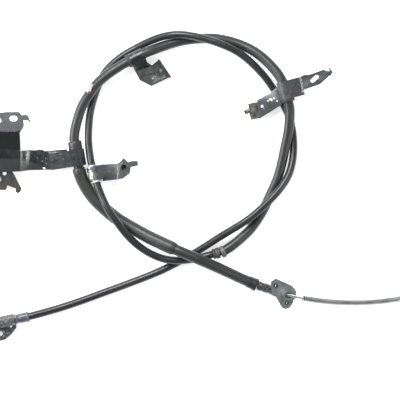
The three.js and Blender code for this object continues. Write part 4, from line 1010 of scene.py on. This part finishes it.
lever_turn, lever_mouth = lever_place
lever_axis = lever_turn.to_3x3() @ Vector((0, 0, 1))
lever_path = [lever_mouth + lever_axis * (-0.046 + 0.051 * i / 40) for i in range(41)]
ROPE = {"Strands": 9, "Step": 0.001, "Out": 0.00108, "Turns_per_metre": 42.0,
        "Thickness": 0.00042, "Sides": 8}
COIL = {"Strands": 1, "Step": 0.0001, "Out": 0.00305, "Turns_per_metre": 1 / SPRING_PITCH,
        "Thickness": 0.00062, "Sides": 10}
rope_path = arc_path(arc_angle(WIRE_FROM), arc_angle(WIRE_TO))
spring = winding("wound_spring", arc_path(spring_start, spring_end), spring_steel, **COIL)
drum_rope = winding("drum_wire_strands", rope_path, steel, **ROPE)
lever_rope = winding("lever_wire_strands", lever_path, steel, **ROPE)
CORE_RADIUS, CORE_INSET = 0.00095, 0.2
core_path = arc_path(arc_angle(WIRE_FROM + CORE_INSET), arc_angle(WIRE_TO - CORE_INSET))
drum_core = tube("drum_wire_core", core_path, CORE_RADIUS, sides=12)
lever_core = tube("lever_wire_core", lever_path[1:-1], CORE_RADIUS, sides=12)
for piece, body, nodes in (
    (spring, "drum_end_wire", ["return_spring"]), (drum_rope, "drum_end_wire", ["drum_wire"]),
    (lever_rope, "lever_end_wire", ["lever_wire"]), (drum_core, "drum_end_wire", []),
    (lever_core, "lever_end_wire", []),
):
    if not piece.data.materials:
        piece.data.materials.append(steel)
    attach(piece, body)
    if nodes:
        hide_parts(*nodes)

# %% [markdown]
# ## Floor and light
# The cable lies on a pale floor under a wide, even light. The floor gives off a little light of its
# own, so that it stays white in the picture. Area lights at the back and the left give the covering
# its long bright streak, and a weak one at the right shows the folds of the sheet metal.

# %% Floor and light
FLOOR_GLOW, SKY = 0.6, 0.36
floor_mesh = bpy.data.meshes.new("floor")
floor_mesh.from_pydata([(-3, -3, 0), (3, -3, 0), (3, 3, 0), (-3, 3, 0)], [], [(0, 1, 2, 3)])
floor = new_piece("floor", floor_mesh)
floor_paint = bpy.data.materials.new("floor_paint")
floor_paint.use_nodes = True
floor_shader = floor_paint.node_tree.nodes["Principled BSDF"]
floor_shader.inputs["Base Color"].default_value = (0.93, 0.93, 0.93, 1)
floor_shader.inputs["Roughness"].default_value = 0.9
floor_shader.inputs["Emission Color"].default_value = (1, 1, 1, 1)
floor_shader.inputs["Emission Strength"].default_value = FLOOR_GLOW
floor_mesh.materials.append(floor_paint)

world = bpy.data.worlds.new("studio")
world.use_nodes = True
world.node_tree.nodes["Background"].inputs["Color"].default_value = (1, 1, 1, 1)
world.node_tree.nodes["Background"].inputs["Strength"].default_value = SKY
bpy.context.scene.view_settings.view_transform = "Standard"
bpy.context.scene.world = world

for name, place, across, power in (
    ("back_light", (-0.4, 1.0, 1.3), 0.8, 30),
    ("left_light", (-1.5, 0.2, 0.9), 1.0, 30),
    ("right_light", (1.4, -0.3, 1.1), 0.9, 9),
):
    light = bpy.data.lights.new(name, "AREA")
    light.size = across
    light.energy = power
    lamp = bpy.data.objects.new(name, light)
    lamp.location = place
    lamp.rotation_euler = (-Vector(place)).to_track_quat("-Z", "Y").to_euler()
    bpy.context.collection.objects.link(lamp)
